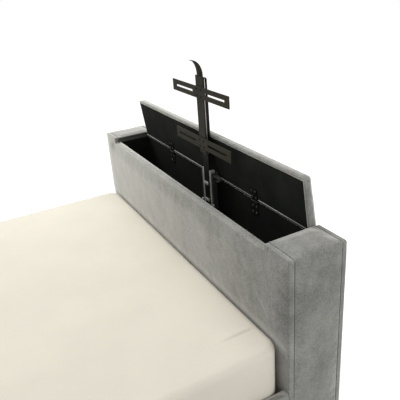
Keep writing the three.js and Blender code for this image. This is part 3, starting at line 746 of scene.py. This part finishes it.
def end_wrap(name, node, side):
    """The velour round one end block: its end, its top and the strips under the panels' edges."""
    sizes = bpy.context.scene.lift_bed_upholstery
    low, high = corners_of(node)
    mesh = box_mesh(low, high)
    outer_x, inner_x = (low.x, high.x) if side < 0 else (high.x, low.x)
    for x, radius, steps in ((outer_x, PANEL_CORNER, 4), (inner_x, 0.005, 3)):
        top = [e for e in mesh.edges if lies_at(e, 0, x) and lies_at(e, 2, high.z)]
        round_edges(mesh, top, radius, steps)
    for value in (low.y, high.y):
        round_edges(mesh, edges_on(mesh, 1, value), sizes.seam_radius, 3)
    cut_grid(mesh, 1, low.y, high.y, sizes.grid * 0.33)
    cut_grid(mesh, 2, low.z, high.z, sizes.grid * 0.4)
    cut_grid(mesh, 0, low.x, high.x, sizes.grid * 0.33)
    open_side = [
        face for face in mesh.faces
        if lies_at(face, 0, inner_x) or lies_at(face, 2, low.z, sizes.seam_radius * 1.2)
    ]
    bmesh.ops.delete(mesh, geom=open_side, context="FACES")
    for vert in mesh.verts:
        rise = smooth_step(min(vert.co.y - low.y, high.y - vert.co.y) / 0.045)
        from_outer, from_inner = abs(vert.co.x - outer_x), abs(vert.co.x - inner_x)
        if from_outer < 0.002:
            fall = smooth_step((high.z - vert.co.z) / 0.05)
            crown = sizes.puff * 0.4 + dent(vert.co, 0.0012, 5.0 + side)
            vert.co.x += side * fall * rise * crown
        elif abs(vert.co.z - high.z) < 0.002:
            fall = smooth_step(from_outer / 0.04) * smooth_step(from_inner / 0.03)
            vert.co.z += fall * rise * (sizes.puff * 0.35 + dent(vert.co, 0.001, 7.0 + side))
    piece = finish_piece(name, mesh, "velour", "bed")

    def reach(point):
        off_board = smooth_step((abs(point.x - inner_x) - 0.006) / 0.03)
        off_floor = smooth_step((point.z - low.z - 0.01) / 0.05)
        off_seam = smooth_step((min(point.y - low.y, high.y - point.y) - 0.003) / 0.015)
        return WRAP_SETTLE * (off_board * off_floor) * off_seam

    settle(piece, reach, 0.006)
    add_wall(piece, 0.0075)
    declare_pad(node)


class LIFTBED_OT_box_upholstery(bpy.types.Operator):
    """Make the padded panels and end wraps of the lift box"""

    bl_idname = "lift_bed.box_upholstery"
    bl_label = "Box upholstery"

    def execute(self, context):
        notched_panel("inner_panel_velour", "panel_inner", True)
        notched_panel("outer_panel_velour", "panel_outer", False)
        end_wrap("end_wrap_near", "end_cover_near", -1)
        end_wrap("end_wrap_far", "end_cover_far", 1)
        self.end_seams()
        self.turned_in()
        return {"FINISHED"}

    def turned_in(self):
        """The inner panel's velour, turned in over the wall's top."""
        wall_low, wall_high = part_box("box_inner_wall")
        half = -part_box("end_cover_near")[1][0] - 0.0006
        low = (-half, wall_low[1] - 0.0007, wall_high[2] + 0.0001)
        high = (half, wall_high[1] + 0.0015, wall_high[2] + 0.0009)
        mesh = bmesh.new()
        bevelled_bar(mesh, low, high, 0.0003)
        added_piece("turned_in_edge", mesh, "velour", "bed")

    def end_seams(self):
        """Dark cords in the grooves between the end wraps and the two panels: painted shade for the
        shadow in these grooves.
        """
        sunk, stop, foot = 0.0012, 0.004, 0.034
        paths = []
        for name, side in (("end_cover_near", -1), ("end_cover_far", 1)):
            low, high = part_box(name)
            outer, inner = (low[0], high[0]) if side < 0 else (high[0], low[0])
            x, z = outer - side * sunk, high[2] - sunk
            for y in (low[1], high[1]):
                corners = [(x, y, foot), (x, y, z), (inner + side * stop, y, z)]
                paths.append(round_corner(corners, 0.011))
        seam_cord("end_seam_shade_cords", paths, 0.0011, "bed")


# Lid, drawn standing straight up from the hinge axis and then leant with it


PAD_UNDER, PAD_THICK, PAD_FOOT, PAD_TOP = -0.0039, 0.0396, 0.0006, 0.2155
BOARD_THICK = 0.0144
CLOTH_BORDER, CLOTH_FOOT = 0.0036, 0.0096  # cloth beside and below the lined board
LEANT = Matrix.Translation(HINGE) @ Matrix.Rotation(-LID_LEAN, 4, "X")


def lean(mesh):
    """Turns a piece drawn standing at the hinge axis into the lid's place."""
    bmesh.ops.transform(mesh, matrix=LEANT, verts=mesh.verts)


def pocket_side(mesh, level):
    """Sinks the lid's lined side by the board's thickness, inside a narrow border of cloth."""
    flat = faces_at(mesh, 1, level)
    bmesh.ops.inset_region(
        mesh, faces=flat, thickness=CLOTH_BORDER, depth=0, use_even_offset=True,
    )
    flat = [max(flat, key=lambda f: f.calc_area())]
    lowest = min(v.co.z for v in flat[0].verts)
    for vert in flat[0].verts:
        if vert.co.z < lowest + 1e-4:
            vert.co.z += CLOTH_FOOT - CLOTH_BORDER
    pull_out(mesh, flat, (0, -BOARD_THICK, 0))
    bmesh.ops.delete(mesh, geom=flat, context="FACES")


def lower_pocket_top(mesh, high):
    """Brings the pocket's top down to the board, which ends below the pad's crown."""
    for vert in mesh.verts:
        on_top = abs(vert.co.z - (high.z - CLOTH_BORDER)) < 1e-4
        if on_top and abs(vert.co.x) < high.x - 0.003 and vert.co.y > high.y - 0.0155:
            vert.co.z -= 0.0055


class LIFTBED_OT_lid(bpy.types.Operator):
    """Make the lid's padded cover, which folds over the lined board's edges, and its hinge tape"""

    bl_idname = "lift_bed.lid"
    bl_label = "Lid"

    def execute(self, context):
        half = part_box("lid_cover")[1][0]
        low = Vector((-half, PAD_UNDER - PAD_THICK, PAD_FOOT))
        high = Vector((half, PAD_UNDER, PAD_TOP))
        self.pad(context.scene.lift_bed_upholstery, low, high)
        self.turned_edge(low, high, high.y + 0.0008)
        tape = bmesh.new()
        tape_low = (-half + 0.006, -0.0042, PAD_FOOT + 0.0045)
        bevelled_bar(tape, tape_low, (half - 0.006, -0.0033, PAD_FOOT + 0.0112), 0.0003)
        lean(tape)
        added_piece("lid_hinge_tape", tape, "tape", "lid")
        return {"FINISHED"}

    def pad(self, sizes, low, high):
        """The foam pad in its velour, with the pocket that holds the lined board."""
        mesh = box_mesh(low, high)
        upper = [e for e in edges_along(mesh, 1) if e.verts[0].co.z > PAD_FOOT + 0.01]
        round_edges(mesh, upper, 0.024, 7)
        round_edges(mesh, edges_on(mesh, 1, low.y), 0.021, 7)
        round_edges(mesh, edges_on(mesh, 1, high.y), 0.004, 3)
        pocket_side(mesh, high.y)
        lower_pocket_top(mesh, high)
        cut_grid(mesh, 0, low.x, high.x, sizes.grid * 0.25)
        cut_grid(mesh, 2, low.z, high.z, sizes.grid * 0.25)
        for vert in mesh.verts:
            x, y, z = vert.co
            if y < low.y + 0.004:
                rim = min(x - low.x, high.x - x, z - low.z, high.z - z)
                vert.co.y -= smooth_step(rim / 0.03) * (0.006 + dent(vert.co, 0.0008, 2.0))
            elif y < high.y - 0.004 and z > high.z - 0.003:
                vert.co.z += ripple(x) * 0.6
        lean(mesh)
        piece = finish_piece("lid_velour", mesh, "velour", "lid")
        upright = Matrix.Rotation(LID_LEAN, 4, "X") @ Matrix.Translation([-at for at in HINGE])

        def reach(point):
            here = upright @ point
            off_board = smooth_step((high.y - 0.006 - here.y) / 0.014)
            return LID_SETTLE * off_board * smooth_step((here.z - 0.012) / 0.03)

        settle(piece, reach, 0.006)
        declare_pad("lid_cover")

    def turned_edge(self, low, high, level):
        """The cloth turned over the lined board's edges and stapled down, along top and ends."""
        top, side, inset, foot, thick = 0.0145, 0.0075, 0.0025, 0.016, 0.001
        left, right, upper = low.x + inset, high.x - inset, high.z - inset
        outer = [(left, foot), (left, upper), (right, upper), (right, foot)]
        left, right, upper = low.x + side, high.x - side, high.z - top
        inner = [(right, foot), (right, upper), (left, upper), (left, foot)]
        mesh = bmesh.new()
        face = mesh.faces.new([mesh.verts.new((x, level - thick, z)) for x, z in outer + inner])
        pull_out(mesh, [face], (0, thick, 0))
        round_edges(mesh, edges_along(mesh, 1), 0.004, 3)
        cut_grid(mesh, 0, low.x, high.x, 0.01)
        for vert in mesh.verts:
            if vert.co.z < upper + 0.001 and abs(vert.co.x) < high.x - side - 0.004:
                vert.co.z += ripple(vert.co.x, 4.0) * 0.7
        lean(mesh)
        added_piece("lid_turned_edge", mesh, "velour", "lid")


# Side rails and headboard


def rail_wrap(name, node, side):
    """The velour over one side rail: its top, its outer face and its underside."""
    sizes = bpy.context.scene.lift_bed_upholstery
    low, high = corners_of(node)
    mesh = box_mesh(low, high)
    outer_x, inner_x = (low.x, high.x) if side < 0 else (high.x, low.x)
    round_edges(mesh, edges_on(mesh, 0, outer_x), sizes.corner_radius)
    cut_grid(mesh, 1, low.y, high.y, sizes.grid * 1.3)
    cut_grid(mesh, 2, low.z, high.z, sizes.grid)
    open_side = [*faces_at(mesh, 0, inner_x), *faces_at(mesh, 1, low.y), *faces_at(mesh, 1, high.y)]
    bmesh.ops.delete(mesh, geom=open_side, context="FACES")
    for vert in mesh.verts:
        if abs(vert.co.x - outer_x) < 0.002:
            inset = min(vert.co.z - low.z, high.z - vert.co.z)
            crown = sizes.puff * 0.5 + dent(vert.co, 0.0012, 11.0 + side)
            vert.co.x += side * smooth_step(inset / 0.05) * crown
    piece = finish_piece(name, mesh, "velour", "bed")
    add_wall(piece, 0.0105)
    declare_pad(node)


class LIFTBED_OT_rails(bpy.types.Operator):
    """Make the velour of the two side rails"""

    bl_idname = "lift_bed.rails"
    bl_label = "Side rails"

    def execute(self, context):
        rail_wrap("rail_wrap_near", "side_rail_cover_near", -1)
        rail_wrap("rail_wrap_far", "side_rail_cover_far", 1)
        return {"FINISHED"}


class LIFTBED_OT_headboard(bpy.types.Operator):
    """Make the headboard's padded cover"""

    bl_idname = "lift_bed.headboard"
    bl_label = "Headboard"

    def execute(self, context):
        sizes = context.scene.lift_bed_upholstery
        low, high = corners_of("headboard_cover")
        mesh = box_mesh(low, high)
        upper = [e for e in edges_along(mesh, 1) if e.verts[0].co.z > 1]
        round_edges(mesh, upper, 0.014, 5)
        for value in (low.y, high.y):
            outline = edges_on(mesh, 1, value)
            rim = [e for e in outline if max(v.co.z for v in e.verts) > low.z + 1e-5]
            round_edges(mesh, rim, sizes.corner_radius)
        cut_grid(mesh, 0, low.x, high.x, sizes.grid)
        cut_grid(mesh, 2, low.z, high.z, sizes.grid)
        bmesh.ops.delete(mesh, geom=faces_at(mesh, 2, low.z), context="FACES")
        for sign in (-1, 1):
            swell(mesh, sign, low - UP, high, sizes.puff, 14.0 + sign)
        piece = finish_piece("headboard_velour", mesh, "velour", "bed")
        add_wall(piece, 0.0112)
        declare_pad("headboard_cover")
        return {"FINISHED"}


# Bedding


BEDDING_GRID = 0.04
SIDE_GRID = 0.03
SHEET_GAP = 0.0006  # between mattress and sheet
FOLD_X = 0.13  # the pressed fold's way in from the near side
FOLD_CUTS = (-0.004, 0.0, 0.01, 0.02)  # mesh lines round the fold


def mattress_block(grow, low_z):
    """The mattress's own form, grown by a distance: rounded corners, soft edges and a crown."""
    sizes = bpy.context.scene.lift_bed_bedding
    low, high = corners_of("mattress")
    high.z -= sizes.crown
    low, high = low - Vector((grow, grow, 0)), high + Vector((grow, grow, grow))
    low.z = low_z
    mesh = box_mesh(low, high)
    round_edges(mesh, edges_along(mesh, 2), sizes.corner_radius + grow, 8)
    round_edges(mesh, edges_on(mesh, 2, high.z), sizes.edge_radius + grow, 7)
    round_edges(mesh, edges_on(mesh, 2, low.z), 0.03 + grow, 6)
    cut_grid(mesh, 0, low.x, high.x, BEDDING_GRID)
    cut_grid(mesh, 1, low.y, high.y, BEDDING_GRID)
    middle = (low + high) / 2
    size = (high - low) / 2
    for vert in mesh.verts:
        if vert.co.z > high.z - sizes.edge_radius:
            off = vert.co - middle
            reach = max(abs(off.x / size.x), abs(off.y / size.y))
            vert.co.z += sizes.crown * max(0.0, 1 - (reach / 0.976) ** 2)
    return mesh, low, high


def draw_in(vert, low, high):
    """Draws the sides in at half height, as the stitching of the mattress's border does."""
    depth, half_height, rim = 0.005, 0.09, 0.004
    side = smooth_step(1 - abs(vert.co.z - (low.z + high.z) / 2) / half_height)
    outward = Vector((0, 0, 0))
    if abs(vert.co.x) > high.x - rim:
        outward.x = math.copysign(1, vert.co.x)
    if vert.co.y < low.y + rim or vert.co.y > high.y - rim:
        outward.y = math.copysign(1, vert.co.y - (low.y + high.y) / 2)
    vert.co -= outward * side * depth


class LIFTBED_OT_mattress(bpy.types.Operator):
    """Make the mattress"""

    bl_idname = "lift_bed.mattress"
    bl_label = "Mattress"

    def execute(self, context):
        mesh, low, high = mattress_block(0.0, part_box("mattress")[0][2])
        cut_grid(mesh, 2, low.z, high.z, SIDE_GRID)
        for vert in mesh.verts:
            draw_in(vert, low, high)
        piece = finish_piece("mattress_ticking", mesh, "ticking", "bed")
        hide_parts("mattress")
        return {"FINISHED"}


def sheet_relief(point, low):
    """Soft pulls across the sheet and a pressed fold by the lift box."""
    slow = noise.noise(Vector((point.x * 2.1, point.y * 1.4, 3.0))) * 0.003
    pull = noise.noise(Vector((point.x * 7.0, point.y * 2.6, 9.0))) * 0.0016
    fold_x = low.x + FOLD_X
    begins = smooth_step((point.y - low.y - 0.02) / 0.03)
    along = begins * smooth_step((low.y + 0.17 - point.y) / 0.05)
    rises = 0.0045 * smooth_step((point.x - fold_x + 0.004) / 0.004)
    return slow + pull + rises * smooth_step((fold_x + 0.03 - point.x) / 0.03) * along


class LIFTBED_OT_sheet(bpy.types.Operator):
    """Make the fitted sheet, stretched over the mattress and tucked under it"""

    bl_idname = "lift_bed.sheet"
    bl_label = "Fitted sheet"

    def execute(self, context):
        sizes = context.scene.lift_bed_bedding
        low_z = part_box("mattress")[0][2]
        mesh, low, high = mattress_block(SHEET_GAP, low_z - SHEET_GAP)
        cut_grid(mesh, 2, low.z + 0.03, high.z - 0.04, SIDE_GRID)
        for offset in FOLD_CUTS:
            cut(mesh, 0, low.x + FOLD_X + offset)
        under = [f for f in mesh.faces if max(v.co.z for v in f.verts) < low_z + 0.0095]
        bmesh.ops.delete(mesh, geom=under, context="FACES")
        for vert in mesh.verts:
            x, y, z = vert.co
            if z > high.z - 0.03:
                inset = min(x - low.x, high.x - x, y - low.y, high.y - y)
                vert.co.z += smooth_step(inset / 0.06) * max(0.0, sheet_relief(vert.co, low))
            else:
                draw_in(vert, low, high)
        piece = finish_piece("fitted_sheet_cotton", mesh, "cotton", "bed")
        add_wall(piece, sizes.sheet_thickness, inwards=False)
        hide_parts("fitted_sheet")
        return {"FINISHED"}


# Lift and hinge fittings


def screw_head(mesh, centre, axis, radius, height):
    """A domed screw head with a sunk middle, standing on a face."""
    turn = axis.to_track_quat("Z", "Y").to_matrix().to_4x4()
    place = Matrix.Translation(centre) @ turn
    made = bmesh.ops.create_circle(mesh, cap_ends=True, segments=24, radius=radius)["verts"]
    face = next(f for f in made[0].link_faces)
    rings = ((0.75, 0.0), (0.25, 0.22), (0.0, 0.28), (-0.5, 0.02))  # shares of height and radius
    verts = set(made)
    for rise, shrink in rings:
        grown = bmesh.ops.extrude_face_region(mesh, geom=[face])["geom"]
        bmesh.ops.delete(mesh, geom=[face], context="FACES_ONLY")
        face = next(g for g in grown if isinstance(g, bmesh.types.BMFace))
        ring = face.verts[:]
        verts.update(ring)
        bmesh.ops.translate(mesh, vec=(0, 0, rise * height), verts=ring)
        for vert in ring:
            outward = Vector((vert.co.x, vert.co.y, 0)).normalized()
            vert.co -= outward * (shrink * radius)
    bmesh.ops.contextual_create(mesh, geom=[e for e in mesh.edges if e.is_boundary])
    bmesh.ops.transform(mesh, matrix=place, verts=list(verts))


def screws(name, spots, radius, height, finish, body, place=None):
    whole = bmesh.new()
    for spot in spots:
        single = bmesh.new()
        screw_head(single, Vector(spot), AXES[1], radius, height)
        join_part(whole, single)
    if place:
        place(whole)
    added_piece(name, whole, finish, body)


SCREW_APART, SCREW_UP = 0.017, 0.014  # the crossbars' screws, from the plate's middle
BOLT_Z, BOLT_INSET = 0.722, 0.0055
SHOES_Z, SHOE_HALF_WIDTH, SHOE_HALF_HEIGHT = (0.817, 0.736), 0.0172, 0.0072


class LIFTBED_OT_lift_fittings(bpy.types.Operator):
    """Make the lift's screws, guide shoes and edge strips"""

    bl_idname = "lift_bed.lift_fittings"
    bl_label = "Lift fittings"

    def execute(self, context):
        radius = context.scene.lift_bed_metal.screw_radius
        plate_low, plate_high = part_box("mast_plate")
        bracket_low, bracket_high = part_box("lift_top_bracket")
        column_low, column_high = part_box("lift_carriage")
        middle = (plate_low[0] + plate_high[0]) / 2
        for name in ("crossbar_upper", "crossbar_lower"):
            low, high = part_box(name)
            z = (low[2] + high[2]) / 2
            spots = [
                (middle + side * SCREW_APART, high[1], z + up * SCREW_UP)
                for side in (-1, 1) for up in (-1, 1)
            ]
            screws(f"{name}_screws", spots, radius * 0.6, 0.0022, "black", "lift_head")
        ears = (bracket_low[0] + BOLT_INSET, bracket_high[0] - BOLT_INSET)
        bolts = [(x, bracket_high[1], BOLT_Z) for x in ears]
        screws("bracket_ear_bolts", bolts, radius, 0.005, "bright", "bed")
        shoes = bmesh.new()
        for z in SHOES_Z:
            low = (middle - SHOE_HALF_WIDTH, column_high[1], z - SHOE_HALF_HEIGHT)
            high = (middle + SHOE_HALF_WIDTH, column_high[1] + 0.0016, z + SHOE_HALF_HEIGHT)
            bevelled_bar(shoes, low, high)
        added_piece("guide_shoe_plates", shoes, "grey", "lift_head")
        strips = bmesh.new()
        for side in (-1, 1):
            edge = column_low[0] if side < 0 else column_high[0]
            inner, outer = sorted((edge - side * 0.0042, edge + side * 0.0004))
            low = (inner, column_high[1] - 0.0064, plate_low[2] + 0.001)
            bevelled_bar(strips, low, (outer, column_high[1] - 0.0032, column_high[2] - 0.001))
        added_piece("column_edge_strips", strips, "grey", "lift_head")
        return {"FINISHED"}


class LIFTBED_OT_foot_piping(bpy.types.Operator):
    """Make the piping along the foot of the lid's lining, which stops at each hinge"""

    bl_idname = "lift_bed.foot_piping"
    bl_label = "Foot piping"

    def execute(self, context):
        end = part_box("lid_cover")[1][0] - 0.006
        leaf_low, leaf_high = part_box("hinge_wall_leaf_far")
        inner, outer = leaf_low[0] - 0.004, leaf_high[0] + 0.004
        spans = ((-end, -outer), (-inner, inner), (outer, end))
        paths = [[LEANT @ Vector((x, -0.0034, 0.0135)) for x in span] for span in spans]
        seam_cord("foot_piping", paths, 0.0022, "lid", "piping")
        return {"FINISHED"}


HINGE_X = 0.371
LEAF_FACE = 0.0012  # from the hinge axis to the leaves' faces
LEAF_SCREWS = [(across, along) for along in (0.02, 0.047) for across in (-0.012, 0.012)]


class LIFTBED_OT_hinge_screws(bpy.types.Operator):
    """Make the screws of the two hinges"""

    bl_idname = "lift_bed.hinge_screws"
    bl_label = "Hinge screws"

    def execute(self, context):
        radius = context.scene.lift_bed_metal.screw_radius * 0.55
        walls, lids = [], []
        for x in (-HINGE_X, HINGE_X):
            for across, along in LEAF_SCREWS:
                walls.append((x + across, HINGE[1] - LEAF_FACE, HINGE[2] - along))
                lids.append((x + across, -LEAF_FACE, along))
        screws("hinge_screws_wall", walls, radius, 0.0016, "dull", "bed")
        screws("hinge_screws_lid", lids, radius, 0.0016, "dull", "lid", lean)
        return {"FINISHED"}


# Stage


WORLD_LIGHT = 0.55
FLOOR_GLOW = 0.55
LAMPS = (  # name, place, target, size, energy, tint
    ("key_lamp", (2.4, -0.1, 2.6), (0.2, -0.9, 0.6), 1.2, 46, (1.0, 0.985, 0.965)),
    ("top_lamp", (-0.2, -0.9, 4.0), (0, -0.8, 0.4), 3.0, 58, (1.0, 0.99, 0.975)),
    ("end_lamp", (-3.2, -1.9, 0.7), (-0.84, -1.05, 0.4), 1.6, 18, (1.0, 1.0, 0.98)),
)
EYE_PLACE = (-1.8733, -0.1155, 1.6956)
EYE_TURNS = ((-117.272, "Z"), (67.195, "X"), (-4.121, "Z"))  # degrees


def add_object(name, data):
    thing = bpy.data.objects.new(name, data)
    bpy.context.scene.collection.objects.link(thing)
    return thing


def lamp(name, place, target, size, energy, tint):
    data = bpy.data.lights.new(name, "AREA")
    data.shape = "SQUARE"
    data.size = size
    data.energy = energy
    data.color = tint
    thing = add_object(name, data)
    thing.location = place
    thing.rotation_euler = (Vector(target) - Vector(place)).to_track_quat("-Z", "Y").to_euler()


def seen_directly(tree):
    """1 for what the camera sees itself, and 0 for what lights the bed."""
    path = tree.nodes.new("ShaderNodeLightPath")
    return Flow(tree, path.outputs["Is Camera Ray"])


def pale_floor():
    """A pale floor that the camera sees as near white and that keeps the bed's shadow."""
    make = Finish("pale_floor")
    grain = make.noise(3.0, 2.0)
    shade = make.blend(grain, (0.86, 0.86, 0.855), (0.88, 0.88, 0.875))
    glow = make.blend(seen_directly(make.tree), (0, 0, 0), (FLOOR_GLOW,) * 3)
    light = {"Emission_Color": glow, "Emission_Strength": 1.0}
    return make.surface(shade, 0.9, Specular_IOR_Level=0.1, **light)


def white_world():
    """White for the camera, and a soft light for the bed."""
    world = bpy.data.worlds.new("soft_white")
    bpy.context.scene.world = world
    world.use_nodes = True
    tree = world.node_tree
    tree.nodes.clear()
    back = tree.nodes.new("ShaderNodeBackground")
    back.inputs["Color"].default_value = (1, 1, 1, 1)
    connect(tree, back.inputs["Strength"], seen_directly(tree).most(WORLD_LIGHT))
    output = tree.nodes.new("ShaderNodeOutputWorld")
    tree.links.new(back.outputs[0], output.inputs["Surface"])


def photo_camera():
    camera = bpy.data.cameras.new("photo_camera")
    camera.sensor_width = 36
    camera.lens = 45.42
    camera.shift_y = -0.05
    camera.clip_end = 60
    eye = add_object("photo_camera", camera)
    place = Matrix.Translation(EYE_PLACE)
    for degrees, axis in EYE_TURNS:
        place = place @ Matrix.Rotation(math.radians(degrees), 4, axis)
    eye.matrix_world = place
    bpy.context.scene.camera = eye


class LIFTBED_OT_stage(bpy.types.Operator):
    """Make the floor, the lamps, the white surroundings and the photograph's camera"""

    bl_idname = "lift_bed.stage"
    bl_label = "Stage"

    def execute(self, context):
        floor = bmesh.new()
        bmesh.ops.create_grid(floor, x_segments=2, y_segments=2, size=14)
        data = bpy.data.meshes.new("floor")
        floor.to_mesh(data)
        floor.free()
        data.materials.append(pale_floor())
        ground = add_object("floor", data)
        white_world()
        for settings in LAMPS:
            lamp(*settings)
        photo_camera()
        context.scene.view_settings.view_transform = "Standard"
        return {"FINISHED"}


class LIFTBED_PT_panel(bpy.types.Panel):
    """Lists the pieces of the lift bed"""

    bl_idname = "LIFTBED_PT_panel"
    bl_label = "Lift bed"
    bl_space_type = "VIEW_3D"
    bl_region_type = "UI"
    bl_category = "Lift bed"

    def draw(self, context):
        for group in GROUPS:
            settings = getattr(context.scene, group)
            for key in settings.__annotations__:
                self.layout.prop(settings, key)
        for operator in OPERATORS:
            self.layout.operator(operator.bl_idname)


OPERATORS = (
    LIFTBED_OT_finishes,
    LIFTBED_OT_box_upholstery,
    LIFTBED_OT_lid,
    LIFTBED_OT_rails,
    LIFTBED_OT_headboard,
    LIFTBED_OT_mattress,
    LIFTBED_OT_sheet,
    LIFTBED_OT_lift_fittings,
    LIFTBED_OT_hinge_screws,
    LIFTBED_OT_foot_piping,
    LIFTBED_OT_stage,
)
GROUPS = {
    "lift_bed_upholstery": LiftBedUpholstery,
    "lift_bed_bedding": LiftBedBedding,
    "lift_bed_metal": LiftBedMetal,
}


def register():
    for cls in (*GROUPS.values(), *OPERATORS, LIFTBED_PT_panel):
        bpy.utils.register_class(cls)
    for key, cls in GROUPS.items():
        setattr(bpy.types.Scene, key, bpy.props.PointerProperty(type=cls))


def unregister():
    for key in GROUPS:
        delattr(bpy.types.Scene, key)
    for cls in reversed((*GROUPS.values(), *OPERATORS, LIFTBED_PT_panel)):
        bpy.utils.unregister_class(cls)


def main():
    register()
    for operator in OPERATORS:
        group, name = operator.bl_idname.split(".")
        getattr(getattr(bpy.ops, group), name)()


if __name__ == "__main__":
    main()
